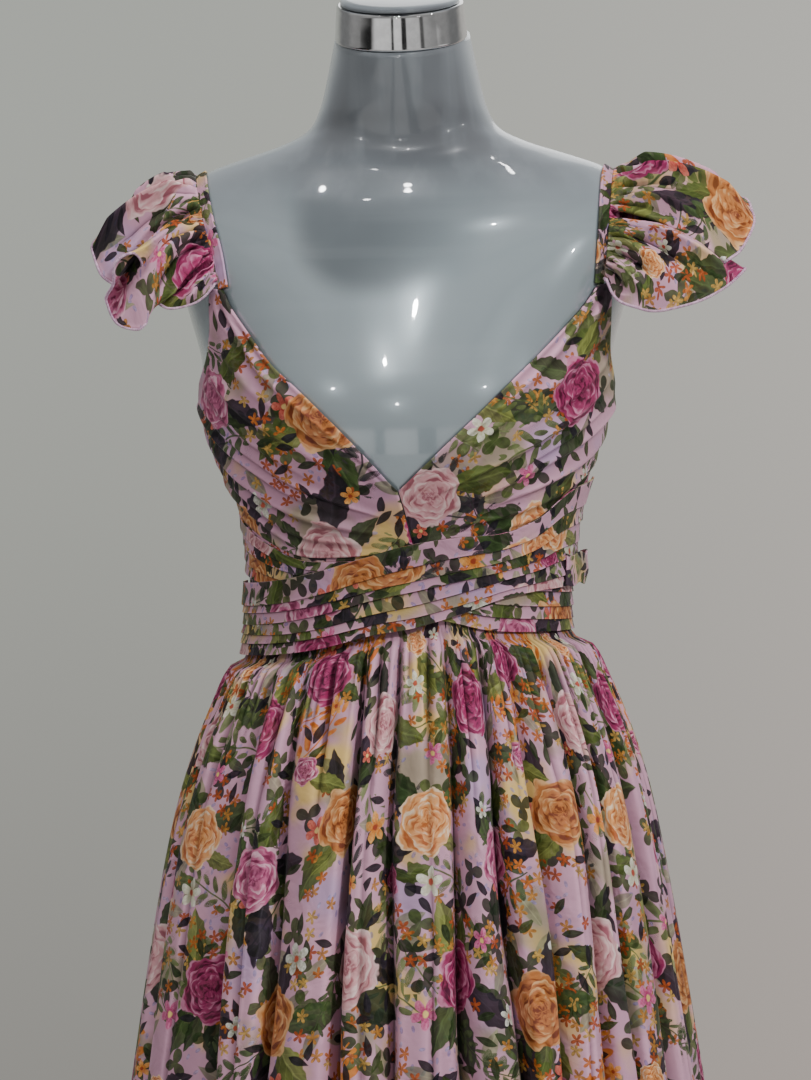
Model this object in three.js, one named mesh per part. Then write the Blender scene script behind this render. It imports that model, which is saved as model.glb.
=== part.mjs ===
// A maxi dress on a limbless dress form: draped V-neck bodice, flutter sleeves on narrow straps, two crossing
// pleated wrap bands and a gathered skirt. Millimetres, +Z up, the front faces -Y and the floor is z = 0.
// "right" and "left" in the names are the wearer's: right is -X, left is +X.
import * as THREE from "three";

// Cloth and seams
const CLOTH = 1.5; // wall of every cloth piece
const SEAM_GAP = 0.5; // between two pieces that are sewn edge to edge
const CLOTH_LIFT = 2.5; // inner face of the bodice above the form
const UNDER_BAND_LIFT = 4.5; // inner face of the under wrap band
const UPPER_BAND_LIFT = 7.7; // inner face of the upper wrap band
const PLEAT_RISE = 1.3; // step of a pleat's folded edge
const BODICE_CELLS = 13;

// Heights
const HEM_Z = 35;
const SIDE_TOP_Z = 1262; // underarm, top of the side seam
const STRAP_Z = 1338; // where both ends of a strap are sewn on
const SIDE_ANGLE = 96; // the bodice's side seam, in degrees round the body from the front

// Form and stand
const FORM_BOTTOM_Z = 790;
const NECK_TILT = 18; // degrees, the neck's top leans to the front
const NECK_TILT_START_Z = 1465;
const NECK_TOP_Z = 1522;
const NECK_TOP_Y = -12;
const BAND_RADIUS_LOW = 49;
const BAND_RADIUS_HIGH = 46.8;
const BAND_HEIGHT = 27;
const CAP_RADIUS = 44;
const CAP_RISE = 5;
const POLE_RADIUS = 12.5;
const BASE_RADIUS = 170;
const BASE_EDGE = 4;
const BASE_TOP = 14;
const HUB_RADIUS = 24;
const HUB_TOP = 44;
const FORM_SIDES = 44;

// The form, a row for each level: half width, reach to the front and to the back, and how square the oval is.
const FORM = [
  { z: 790, half: 158, front: 98, back: 112, power: 2.2 },
  { z: 850, half: 162, front: 100, back: 118, power: 2.2 },
  { z: 900, half: 160, front: 99, back: 119, power: 2.2 },
  { z: 950, half: 152, front: 96, back: 112, power: 2.2 },
  { z: 1000, half: 139, front: 92, back: 99, power: 2.15 },
  { z: 1040, half: 125, front: 88, back: 87, power: 2.1 },
  { z: 1080, half: 117, front: 86, back: 80, power: 2.1 },
  { z: 1110, half: 116, front: 88, back: 79, power: 2.1 },
  { z: 1140, half: 117, front: 93, back: 81, power: 2.1 },
  { z: 1170, half: 121, front: 103, back: 84, power: 2.1 },
  { z: 1200, half: 132, front: 117, back: 88, power: 2.1 },
  { z: 1230, half: 143, front: 126, back: 92, power: 2.1 },
  { z: 1260, half: 151, front: 126, back: 95, power: 2.1 },
  { z: 1290, half: 154, front: 119, back: 98, power: 2.1 },
  { z: 1320, half: 162, front: 110, back: 100, power: 2.15 },
  { z: 1350, half: 170, front: 100, back: 101, power: 2.2 },
  { z: 1380, half: 176, front: 87, back: 97, power: 2.2 },
  { z: 1400, half: 174, front: 74, back: 88, power: 2.1 },
  { z: 1415, half: 164, front: 60, back: 76, power: 2.0 },
  { z: 1427, half: 147, front: 48, back: 64, power: 1.9 },
  { z: 1436, half: 122, front: 42, back: 55, power: 1.8 },
  { z: 1445, half: 94, front: 44, back: 50, power: 1.8 },
  { z: 1455, half: 73, front: 48, back: 48, power: 1.9 },
  { z: 1470, half: 63, front: 54, back: 45, power: 2.0 },
  { z: 1495, half: 56, front: 56, back: 40, power: 2.0 },
  { z: 1522, half: 50, front: 60, back: 37, power: 2.0 },
];

// Lines on the body: angle in degrees round it from the front, and height.
const NECKLINE_RIGHT = [
  { angle: 0.4, z: 1192 }, { angle: -7.5, z: 1217 }, { angle: -16.5, z: 1243 }, { angle: -25, z: 1265 },
  { angle: -35, z: 1287 }, { angle: -40.5, z: 1307 }, { angle: -45, z: 1325 }, { angle: -46.5, z: 1337.4 },
];
const NECKLINE_LEFT = [
  { angle: 0.8, z: 1192 }, { angle: 9, z: 1213 }, { angle: 19.5, z: 1240 }, { angle: 30, z: 1267 },
  { angle: 41, z: 1292 }, { angle: 48, z: 1310 }, { angle: 53.5, z: 1325 }, { angle: 56.5, z: 1337.4 },
];
const ARMHOLE_RIGHT = [
  { angle: -46.5, z: 1337.4 }, { angle: -52, z: 1337.4 }, { angle: -58, z: 1308 }, { angle: -68, z: 1282 },
  { angle: -82, z: 1266 }, { angle: -96, z: 1262 }, { angle: -96, z: 1222 }, { angle: -96, z: 1178 },
];
const ARMHOLE_LEFT = [
  { angle: 56.5, z: 1337.4 }, { angle: 62.5, z: 1337.4 }, { angle: 69, z: 1312 }, { angle: 77, z: 1284 },
  { angle: 86, z: 1268 }, { angle: 96, z: 1262 }, { angle: 96, z: 1222 }, { angle: 96, z: 1168 },
];
const UNDERBUST_RIGHT = [
  { angle: 4.6, z: 1151 }, { angle: -3.5, z: 1147 }, { angle: -15.5, z: 1144 }, { angle: -35, z: 1144 },
  { angle: -53, z: 1155 }, { angle: -77, z: 1171 }, { angle: -96, z: 1178 },
];
const UNDERBUST_LEFT = [
  { angle: 5, z: 1151 }, { angle: 11, z: 1155 }, { angle: 18.5, z: 1157 }, { angle: 35, z: 1158 },
  { angle: 55, z: 1161 }, { angle: 77, z: 1165 }, { angle: 96, z: 1168 },
];
// Lower and upper edge of the wrap bands, from the wearer's right side to the left
const UPPER_BAND = [
  { angle: -95, low: 1066, high: 1120 }, { angle: -74, low: 1067, high: 1121 },
  { angle: -45, low: 1071, high: 1126 }, { angle: -26, low: 1077, high: 1134 },
  { angle: -8.5, low: 1087, high: 1145 }, { angle: 3.5, low: 1092, high: 1153 },
  { angle: 18, low: 1101, high: 1158 }, { angle: 35, low: 1112, high: 1160 },
  { angle: 50, low: 1116, high: 1170 }, { angle: 64, low: 1117, high: 1188 },
  { angle: 80, low: 1118, high: 1194 }, { angle: 95, low: 1118, high: 1196 },
];
const UNDER_BAND = [
  { angle: -95, low: 1131, high: 1175 }, { angle: -77, low: 1127, high: 1168 },
  { angle: -53, low: 1121, high: 1152 }, { angle: -35, low: 1117, high: 1141 },
  { angle: -15, low: 1109, high: 1141 }, { angle: 3, low: 1101, high: 1143 },
  { angle: 16, low: 1096, high: 1138 }, { angle: 30, low: 1089, high: 1131 },
  { angle: 50, low: 1086, high: 1126 }, { angle: 77, low: 1084, high: 1121 }, { angle: 95, low: 1083, high: 1119 },
];
const WAIST_SEAM = [
  { angle: -180, z: 1076 }, { angle: -120, z: 1075 }, { angle: -95, z: 1074 }, { angle: -74, z: 1074 },
  { angle: -45, z: 1078 }, { angle: -26, z: 1084 }, { angle: -8.5, z: 1094 }, { angle: 3.5, z: 1099 },
  { angle: 16, z: 1102 }, { angle: 30, z: 1096 }, { angle: 50, z: 1093 }, { angle: 77, z: 1091 },
  { angle: 95, z: 1089 }, { angle: 130, z: 1080 }, { angle: 180, z: 1076 },
];
const BACK_TOP = [
  { angle: 96, z: 1262 }, { angle: 108, z: 1272 }, { angle: 120, z: 1300 }, { angle: 127, z: 1337.4 },
  { angle: 134, z: 1337.4 }, { angle: 146, z: 1304 }, { angle: 162, z: 1272 }, { angle: 180, z: 1258 },
  { angle: 198, z: 1272 }, { angle: 214, z: 1304 }, { angle: 226, z: 1337.4 }, { angle: 233, z: 1337.4 },
  { angle: 240, z: 1300 }, { angle: 252, z: 1272 }, { angle: 264, z: 1262 },
];

// Draped folds of the bodice halves: where they lie between neckline (0) and underbust seam (1), how wide and
// high they are, and where they are highest between the centre (0) and the side (1).
const FOLDS_RIGHT = [
  { at: 0.16, width: 0.05, height: 1.6, peak: 0.75 }, { at: 0.33, width: 0.06, height: 2.2, peak: 0.6 },
  { at: 0.52, width: 0.06, height: 3.0, peak: 0.7 }, { at: 0.68, width: 0.05, height: 3.8, peak: 0.7 },
  { at: 0.82, width: 0.05, height: 4.2, peak: 0.55 },
];
const FOLDS_LEFT = [
  { at: 0.15, width: 0.05, height: 1.8, peak: 0.8 }, { at: 0.3, width: 0.05, height: 2.6, peak: 0.75 },
  { at: 0.46, width: 0.06, height: 3.0, peak: 0.7 }, { at: 0.62, width: 0.05, height: 3.2, peak: 0.5 },
  { at: 0.78, width: 0.05, height: 3.0, peak: 0.45 },
];

// Straps: station over the shoulder (0 front end, 90 top, 180 back end) and distance from the middle
const STRAP_WIDTH = 10;
const STRAP_LIFT = 0.8;
const STRAP_STATIONS = 20;
const STRAP_START = 0.5;
const STRAP_END = 178.9;
const STRAP_ARCH_Y = 8;
const STRAP_RIGHT = [
  { station: 0, x: -126 }, { station: 19, x: -131 }, { station: 39, x: -139 }, { station: 65, x: -147 },
  { station: 90, x: -152 }, { station: 115, x: -148 }, { station: 141, x: -140 }, { station: 180, x: -127 },
];
const STRAP_LEFT = [
  { station: 0, x: 144 }, { station: 19, x: 146 }, { station: 39, x: 148 }, { station: 65, x: 150 },
  { station: 90, x: 152 }, { station: 115, x: 150 }, { station: 141, x: 143 }, { station: 180, x: 127 },
];
// Sleeves, a row for each rib of the ruffle: where it leaves the strap, where its free edge is, and its puff
const SLEEVE_RIGHT = [
  { station: 4, x: -134, y: -74, z: 1340, puff: 1 }, { station: 8, x: -145, y: -78, z: 1327, puff: 4 },
  { station: 14, x: -162, y: -82, z: 1322, puff: 6 }, { station: 20, x: -174, y: -72, z: 1329, puff: 3 },
  { station: 26, x: -181, y: -90, z: 1311, puff: 10 }, { station: 33, x: -199, y: -92, z: 1308, puff: 14 },
  { station: 40, x: -219, y: -78, z: 1326, puff: 14 }, { station: 45, x: -206, y: -52, z: 1343, puff: 3 },
  { station: 51, x: -213, y: -64, z: 1348, puff: 10 }, { station: 60, x: -226, y: -46, z: 1364, puff: 12 },
  { station: 72, x: -223, y: -24, z: 1379, puff: 12 }, { station: 86, x: -205, y: -2, z: 1393, puff: 11 },
  { station: 100, x: -189, y: 16, z: 1403, puff: 9 }, { station: 112, x: -180, y: 34, z: 1401, puff: 7 },
  { station: 123, x: -183, y: 52, z: 1393, puff: 4 }, { station: 134, x: -203, y: 64, z: 1382, puff: 12 },
  { station: 146, x: -203, y: 84, z: 1352, puff: 12 }, { station: 158, x: -182, y: 94, z: 1330, puff: 9 },
  { station: 166, x: -158, y: 96, z: 1326, puff: 5 }, { station: 173, x: -137, y: 84, z: 1346, puff: 1 },
];
const SLEEVE_LEFT = [
  { station: 4, x: 152, y: -66, z: 1339, puff: 1 }, { station: 8, x: 162, y: -72, z: 1321, puff: 4 },
  { station: 14, x: 181, y: -80, z: 1316, puff: 8 }, { station: 22, x: 202, y: -82, z: 1316, puff: 10 },
  { station: 30, x: 227, y: -76, z: 1329, puff: 12 }, { station: 37, x: 246, y: -64, z: 1344, puff: 12 },
  { station: 42, x: 233, y: -40, z: 1355, puff: 2 }, { station: 48, x: 237, y: -58, z: 1358, puff: 10 },
  { station: 57, x: 253, y: -47, z: 1379, puff: 16 }, { station: 69, x: 258, y: -28, z: 1396, puff: 15 },
  { station: 83, x: 248, y: -8, z: 1405, puff: 12 }, { station: 98, x: 229, y: 12, z: 1409, puff: 11 },
  { station: 111, x: 209, y: 32, z: 1408, puff: 8 }, { station: 122, x: 211, y: 50, z: 1402, puff: 4 },
  { station: 133, x: 233, y: 60, z: 1392, puff: 12 }, { station: 145, x: 229, y: 82, z: 1362, puff: 12 },
  { station: 157, x: 204, y: 94, z: 1338, puff: 9 }, { station: 166, x: 175, y: 96, z: 1328, puff: 5 },
  { station: 173, x: 140, y: 84, z: 1346, puff: 1 },
];
const SLEEVE_COLUMNS = 40;
const SLEEVE_ROWS = 6;
const SLEEVE_GATHERS = 13;
const SLEEVE_GATHER_RISE = 1.4;

// Skirt levels: how far below the waist seam, reach beyond the form's waist, and half height of the folds
const SKIRT_WAIST = { half: 117, front: 86, back: 80, power: 2.1 };
const SKIRT_LEVELS = [
  { drop: 0, side: 2.5, front: 2.5, back: 2.5, fold: 0 },
  { drop: 8, side: 2.6, front: 2.6, back: 2.6, fold: 0 },
  { drop: 18, side: 12, front: 11, back: 11, fold: 2.6 },
  { drop: 36, side: 26, front: 19, back: 19, fold: 4 },
  { drop: 75, side: 43, front: 34, back: 36, fold: 6 },
  { drop: 125, side: 53, front: 49, back: 53, fold: 8 },
  { drop: 200, side: 65, front: 66, back: 74, fold: 10 },
  { drop: 330, side: 83, front: 92, back: 100, fold: 13 },
  { drop: 620, side: 127, front: 138, back: 150, fold: 17 },
  { drop: 1040, side: 185, front: 192, back: 206, fold: 21 },
];
// Folds of the skirt: where a ridge runs, in degrees, and how far it stands out against the others
const RIDGES_FRONT = [
  { angle: -83, reach: 0.8 }, { angle: -67, reach: 1.0 }, { angle: -53, reach: 0.9 }, { angle: -42, reach: 0.8 },
  { angle: -28, reach: 1.1 }, { angle: -17, reach: 0.7 }, { angle: -7, reach: 0.9 }, { angle: 3, reach: 0.8 },
  { angle: 13, reach: 1.2 }, { angle: 24, reach: 1.0 }, { angle: 35, reach: 0.8 }, { angle: 45, reach: 1.0 },
  { angle: 58, reach: 0.8 }, { angle: 72, reach: 1.0 }, { angle: 84, reach: 0.8 },
];
const RIDGES_BACK = [
  { angle: 97, reach: 0.9 }, { angle: 109, reach: 1.0 }, { angle: 121, reach: 0.8 }, { angle: 134, reach: 1.1 },
  { angle: 146, reach: 0.8 }, { angle: 157, reach: 1.0 }, { angle: 169, reach: 0.9 }, { angle: 182, reach: 0.8 },
  { angle: 193, reach: 1.1 }, { angle: 205, reach: 0.9 }, { angle: 218, reach: 1.0 }, { angle: 230, reach: 0.8 },
  { angle: 242, reach: 1.0 }, { angle: 254, reach: 0.9 }, { angle: 265, reach: 0.8 },
];
const FOLD_STEPS = [0.12, 0.38, 0.62, 0.88]; // columns of one fold, either side of its ridge and of its valley
const FOLD_CREST = 1.3; // those columns cut the wave's crest, so it is drawn this much higher

// Sash tab: path of the folded loop round the wearer's left side
const TAB = [
  { angle: 74, lift: 12.6 }, { angle: 80, lift: 14 }, { angle: 86, lift: 16.5 }, { angle: 91, lift: 16 },
  { angle: 95, lift: 12.8 },
];
const TAB_LOW = 1118;
const TAB_HIGH = 1141;

const paint = {
  cloth: new THREE.MeshStandardMaterial({ color: 0xd9bfce, roughness: 0.75, metalness: 0 }),
  form: new THREE.MeshStandardMaterial({ color: 0x9fb0b8, roughness: 0.18, metalness: 0 }),
  chrome: new THREE.MeshStandardMaterial({ color: 0xcfd2d4, roughness: 0.12, metalness: 1 }),
  stand: new THREE.MeshStandardMaterial({ color: 0x8d9093, roughness: 0.35, metalness: 1 }),
};

const rad = THREE.MathUtils.degToRad;

// Smooth value of one column of a table, between its rows
function smooth(rows, by, key, value) {
  const last = rows.length - 1;
  if (value <= rows[0][by]) return rows[0][key];
  if (value >= rows[last][by]) return rows[last][key];
  let i = 0;
  while (rows[i + 1][by] < value) i += 1;
  const slope = (a, b) => (rows[b][key] - rows[a][key]) / (rows[b][by] - rows[a][by]);
  const before = i > 0 ? slope(i - 1, i + 1) : slope(i, i + 1);
  const after = i + 1 < last ? slope(i, i + 2) : slope(i, i + 1);
  const span = rows[i + 1][by] - rows[i][by];
  const t = (value - rows[i][by]) / span;
  const h00 = 2 * t ** 3 - 3 * t ** 2 + 1;
  const h10 = t ** 3 - 2 * t ** 2 + t;
  const h01 = -2 * t ** 3 + 3 * t ** 2;
  const h11 = t ** 3 - t ** 2;
  return h00 * rows[i][key] + h10 * span * before + h01 * rows[i + 1][key] + h11 * span * after;
}

// Point of a line on the body, at a fraction of the line's length
const DEGREE_LENGTH = 2.1; // millimetres of one degree round the bust
function along(line, fraction) {
  const lengths = [0];
  for (let i = 1; i < line.length; i += 1) {
    const run = (line[i].angle - line[i - 1].angle) * DEGREE_LENGTH;
    lengths.push(lengths[i - 1] + Math.hypot(run, line[i].z - line[i - 1].z));
  }
  const rows = line.map((row, i) => ({ length: lengths[i], angle: row.angle, z: row.z }));
  const length = fraction * lengths[lengths.length - 1];
  const angle = THREE.MathUtils.clamp(smooth(rows, "length", "angle", length), -SIDE_ANGLE, SIDE_ANGLE);
  return { angle, z: smooth(rows, "length", "z", length) };
}

function oval(half, front, back, power, angle, z) {
  const s = Math.sin(rad(angle));
  const c = Math.cos(rad(angle));
  const x = half * Math.sign(s) * Math.abs(s) ** (2 / power);
  const y = c > 0 ? -front * Math.abs(c) ** (2 / power) : back * Math.abs(c) ** (2 / power);
  return new THREE.Vector3(x, y, z);
}

// Point on the form at an angle and height, moved out by a lift
function onBody(angle, z, lift) {
  const [half, front, back, power] = ["half", "front", "back", "power"].map((key) => smooth(FORM, "z", key, z));
  return oval(half + lift, front + lift, back + lift, power, angle, z);
}

// How far outside the form's oval a point lies: negative inside
function outside(p) {
  const power = smooth(FORM, "z", "power", p.z);
  const depth = smooth(FORM, "z", p.y < 0 ? "front" : "back", p.z);
  const half = smooth(FORM, "z", "half", p.z);
  return (Math.abs(p.x) / half) ** power + (Math.abs(p.y) / depth) ** power - 1;
}

// Point of the form's shoulder where a strap's station crosses it, with the direction away from the form
function onShoulder(x, station) {
  const ray = new THREE.Vector3(0, -Math.cos(rad(station)), Math.sin(rad(station)));
  const start = new THREE.Vector3(x, STRAP_ARCH_Y, STRAP_Z);
  let near = 0;
  let far = 200;
  for (let i = 0; i < 40; i += 1) {
    const middle = (near + far) / 2;
    if (outside(start.clone().addScaledVector(ray, middle)) < 0) near = middle;
    else far = middle;
  }
  const point = start.addScaledVector(ray, near);
  const step = 2;
  const slope = (dx, dy, dz) => {
    const ahead = outside(new THREE.Vector3(point.x + dx, point.y + dy, point.z + dz));
    return ahead - outside(new THREE.Vector3(point.x - dx, point.y - dy, point.z - dz));
  };
  const out = new THREE.Vector3(slope(step, 0, 0), slope(0, step, 0), slope(0, 0, step)).normalize();
  return { point, out };
}

function mesh(name, material, points, faces) {
  const geometry = new THREE.BufferGeometry();
  geometry.setAttribute("position", new THREE.Float32BufferAttribute(points.flatMap((p) => [p.x, p.y, p.z]), 3));
  const volume = faces.reduce((sum, [a, b, c]) => {
    const cross = points[b].clone().cross(points[c]);
    return sum + points[a].dot(cross);
  }, 0);
  geometry.setIndex(faces.flatMap(([a, b, c]) => (volume > 0 ? [a, b, c] : [a, c, b])));
  geometry.computeVertexNormals();
  const made = new THREE.Mesh(geometry, material);
  made.name = name;
  return made;
}

// Cloth wall: a grid of outer points, a grid of inner points and closed edges
function wall(name, outer, inner) {
  const rows = outer.length;
  const columns = outer[0].length;
  const at = (side, i, j) => (side * rows + i) * columns + j;
  const faces = [];
  const quad = (a, b, c, d) => faces.push([a, b, c], [a, c, d]);
  for (let i = 0; i + 1 < rows; i += 1) {
    for (let j = 0; j + 1 < columns; j += 1) {
      quad(at(0, i, j), at(0, i, j + 1), at(0, i + 1, j + 1), at(0, i + 1, j));
      faces.push([at(1, i, j), at(1, i + 1, j + 1), at(1, i, j + 1)]);
      faces.push([at(1, i, j), at(1, i + 1, j), at(1, i + 1, j + 1)]);
    }
    quad(at(0, i, 0), at(0, i + 1, 0), at(1, i + 1, 0), at(1, i, 0));
    quad(at(0, i + 1, columns - 1), at(0, i, columns - 1), at(1, i, columns - 1), at(1, i + 1, columns - 1));
  }
  for (let j = 0; j + 1 < columns; j += 1) {
    quad(at(0, 0, j + 1), at(0, 0, j), at(1, 0, j), at(1, 0, j + 1));
    quad(at(0, rows - 1, j), at(0, rows - 1, j + 1), at(1, rows - 1, j + 1), at(1, rows - 1, j));
  }
  return mesh(name, paint.cloth, [...outer.flat(), ...inner.flat()], faces);
}

// Inner points one cloth thickness behind the outer ones
function behind(outer, away) {
  const rows = outer.length;
  const columns = outer[0].length;
  const normals = outer.map((row, i) => row.map((p, j) => {
    const down = outer[Math.min(i + 1, rows - 1)][j].clone().sub(outer[Math.max(i - 1, 0)][j]);
    const across = row[Math.min(j + 1, columns - 1)].clone().sub(row[Math.max(j - 1, 0)]);
    return down.cross(across).normalize();
  }));
  const facing = normals.flat().reduce((sum, n, k) => sum + n.dot(away(outer.flat()[k])), 0);
  const depth = facing > 0 ? -CLOTH : CLOTH;
  return outer.map((row, i) => row.map((p, j) => p.clone().addScaledVector(normals[i][j], depth)));
}

const fromAxis = (p) => new THREE.Vector3(p.x, p.y, 0);
const grid = (rows, columns, fill) =>
  Array.from({ length: rows }, (_, i) => Array.from({ length: columns }, (__, j) => fill(i, j)));

// Solid through closed rings, with a flat cap at both ends
function solid(name, material, rings) {
  const sides = rings[0].length;
  const points = rings.flat();
  const faces = [];
  for (let i = 0; i + 1 < rings.length; i += 1) {
    for (let j = 0; j < sides; j += 1) {
      const k = (j + 1) % sides;
      const [a, b, c, d] = [i * sides + j, i * sides + k, (i + 1) * sides + k, (i + 1) * sides + j];
      faces.push([a, b, c], [a, c, d]);
    }
  }
  const cap = (ring, turned) => {
    const middle = new THREE.Vector3();
    rings[ring].forEach((p) => middle.addScaledVector(p, 1 / sides));
    points.push(middle);
    for (let j = 0; j < sides; j += 1) {
      const [a, b] = [ring * sides + j, ring * sides + ((j + 1) % sides)];
      faces.push(turned ? [b, a, points.length - 1] : [a, b, points.length - 1]);
    }
  };
  cap(0, true);
  cap(rings.length - 1, false);
  return mesh(name, material, points, faces);
}

function formTorso() {
  const rings = FORM.map(({ z }) => Array.from({ length: FORM_SIDES }, (_, j) => {
    const p = onBody((360 * j) / FORM_SIDES, z, 0);
    const tilt = THREE.MathUtils.smoothstep(z, NECK_TILT_START_Z, NECK_TOP_Z) * Math.tan(rad(NECK_TILT));
    p.z += (p.y - NECK_TOP_Y) * tilt;
    return p;
  }));
  return solid("form_torso", paint.form, rings);
}

// Ring of the tilted neck, at a height along the neck's own axis
function neckRing(radius, height) {
  return Array.from({ length: FORM_SIDES }, (_, j) => {
    const turn = (2 * Math.PI * j) / FORM_SIDES;
    const p = new THREE.Vector3(radius * Math.sin(turn), -radius * Math.cos(turn), height);
    p.applyAxisAngle(new THREE.Vector3(1, 0, 0), rad(NECK_TILT));
    return p.add(new THREE.Vector3(0, NECK_TOP_Y, NECK_TOP_Z));
  });
}

function neckBand() {
  return solid("form_neck_band", paint.chrome, [
    neckRing(BAND_RADIUS_LOW, SEAM_GAP), neckRing(BAND_RADIUS_HIGH, BAND_HEIGHT),
  ]);
}

function neckCap() {
  return solid("form_neck_cap", paint.form, [
    neckRing(CAP_RADIUS, BAND_HEIGHT + SEAM_GAP), neckRing(CAP_RADIUS, BAND_HEIGHT + CAP_RISE / 2),
    neckRing(CAP_RADIUS * 0.9, BAND_HEIGHT + CAP_RISE),
  ]);
}

function turned(name, profile) {
  const geometry = new THREE.LatheGeometry(profile.map(([r, z]) => new THREE.Vector2(r, z)), FORM_SIDES);
  geometry.rotateX(Math.PI / 2);
  const made = new THREE.Mesh(geometry, paint.stand);
  made.name = name;
  return made;
}

function standBase() {
  return turned("stand_base", [
    [0, 0], [BASE_RADIUS, 0], [BASE_RADIUS, BASE_EDGE], [BASE_RADIUS * 0.9, BASE_TOP],
    [HUB_RADIUS, BASE_TOP], [HUB_RADIUS, HUB_TOP], [0, HUB_TOP],
  ]);
}

function standPole() {
  const low = HUB_TOP + SEAM_GAP;
  const high = FORM_BOTTOM_Z - SEAM_GAP;
  return turned("stand_pole", [[0, low], [POLE_RADIUS, low], [POLE_RADIUS, high], [0, high]]);
}

// Half of the front bodice, between neckline, underbust seam, centre seam and armhole with side seam
const FOLD_FADE = 0.42; // how far a draped fold runs on either side of its highest place
function bodiceHalf(name, neckline, bottom, armhole, folds) {
  const top = (s) => along(neckline, s);
  const low = (s) => along(bottom, s);
  const side = (t) => along(armhole, t);
  const centre = (t) => ({
    angle: THREE.MathUtils.lerp(neckline[0].angle, bottom[0].angle, t),
    z: THREE.MathUtils.lerp(neckline[0].z, bottom[0].z, t),
  });
  const blend = (s, t, key) => {
    const edges = (1 - t) * top(s)[key] + t * low(s)[key] + (1 - s) * centre(t)[key] + s * side(t)[key];
    const upper = (1 - t) * ((1 - s) * top(0)[key] + s * top(1)[key]);
    const lower = t * ((1 - s) * low(0)[key] + s * low(1)[key]);
    return edges - upper - lower;
  };
  const outer = grid(BODICE_CELLS + 1, BODICE_CELLS + 1, (i, j) => {
    const t = i / BODICE_CELLS;
    const s = j / BODICE_CELLS;
    const rise = folds.reduce((sum, fold) => {
      const across = Math.exp(-(((t - fold.at) / fold.width) ** 2));
      return sum + fold.height * across * Math.exp(-(((s - fold.peak) / FOLD_FADE) ** 2));
    }, 0);
    const free = Math.min(1, 6 * s, 6 * (1 - s));
    return onBody(blend(s, t, "angle"), blend(s, t, "z"), CLOTH_LIFT + CLOTH + rise * free);
  });
  return wall(name, outer, behind(outer, fromAxis));
}

// Panel between a lower and an upper line, plain, on the form
function bodyPanel(name, from, to, columns, rows, low, high, lift) {
  const point = (i, j, out) => {
    const angle = THREE.MathUtils.lerp(from, to, j / columns);
    return onBody(angle, THREE.MathUtils.lerp(low(angle), high(angle), i / rows), out);
  };
  const outer = grid(rows + 1, columns + 1, (i, j) => point(i, j, lift + CLOTH));
  const inner = grid(rows + 1, columns + 1, (i, j) => point(i, j, lift));
  return wall(name, outer, inner);
}

// Pleated band: each pleat's folded edge points down and stands out over the next one
const PLEAT_STEP = 0.14; // part of a pleat's depth taken by the step under its folded edge
function pleatedBand(name, edges, pleats, lift) {
  const columns = 30;
  const from = edges[0].angle;
  const to = edges[edges.length - 1].angle;
  const levels = [];
  for (let k = 0; k < pleats; k += 1) {
    levels.push({ at: k / pleats, rise: PLEAT_RISE }, { at: (k + 1 - PLEAT_STEP) / pleats, rise: 0 });
  }
  levels.push({ at: 1, rise: 0 });
  const point = (level, j, out) => {
    const angle = THREE.MathUtils.lerp(from, to, j / columns);
    const low = smooth(edges, "angle", "low", angle);
    const high = smooth(edges, "angle", "high", angle);
    return onBody(angle, THREE.MathUtils.lerp(low, high, level.at), out);
  };
  const outer = grid(levels.length, columns + 1, (i, j) => point(levels[i], j, lift + CLOTH + levels[i].rise));
  const inner = grid(levels.length, columns + 1, (i, j) => point(levels[i], j, lift));
  return wall(name, outer, inner);
}

function sashTab() {
  const steps = 10;
  const outer = grid(3, steps + 1, (i, j) => {
    const angle = THREE.MathUtils.lerp(TAB[0].angle, TAB[TAB.length - 1].angle, j / steps);
    const puff = i === 1 ? 1.5 : 0;
    return onBody(angle, THREE.MathUtils.lerp(TAB_LOW, TAB_HIGH, i / 2), smooth(TAB, "angle", "lift", angle) + puff);
  });
  return wall("sash_tab", outer, behind(outer, fromAxis));
}

// Frame of a strap at a station: middle of its underside, direction out of the form, direction to the arm
function strapFrame(path, station) {
  const at = (s) => onShoulder(smooth(path, "station", "x", s), s);
  const { point, out } = at(station);
  const step = 3;
  const ahead = at(Math.min(180, station + step)).point;
  const back = at(Math.max(0, station - step)).point;
  const arm = new THREE.Vector3().crossVectors(ahead.sub(back), out).normalize();
  if (arm.x * path[0].x < 0) arm.negate();
  return { point: point.addScaledVector(out, STRAP_LIFT), out, arm };
}

function strap(name, path) {
  const station = (i) => THREE.MathUtils.lerp(STRAP_START, STRAP_END, i / STRAP_STATIONS);
  const frames = Array.from({ length: STRAP_STATIONS + 1 }, (_, i) => strapFrame(path, station(i)));
  const point = (frame, side, up) =>
    frame.point.clone().addScaledVector(frame.arm, (side * STRAP_WIDTH) / 2).addScaledVector(frame.out, up);
  const outer = frames.map((f) => [-1, 0, 1].map((side) => point(f, side, CLOTH)));
  const inner = frames.map((f) => [-1, 0, 1].map((side) => point(f, side, 0)));
  return wall(name, outer, inner);
}

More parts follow.
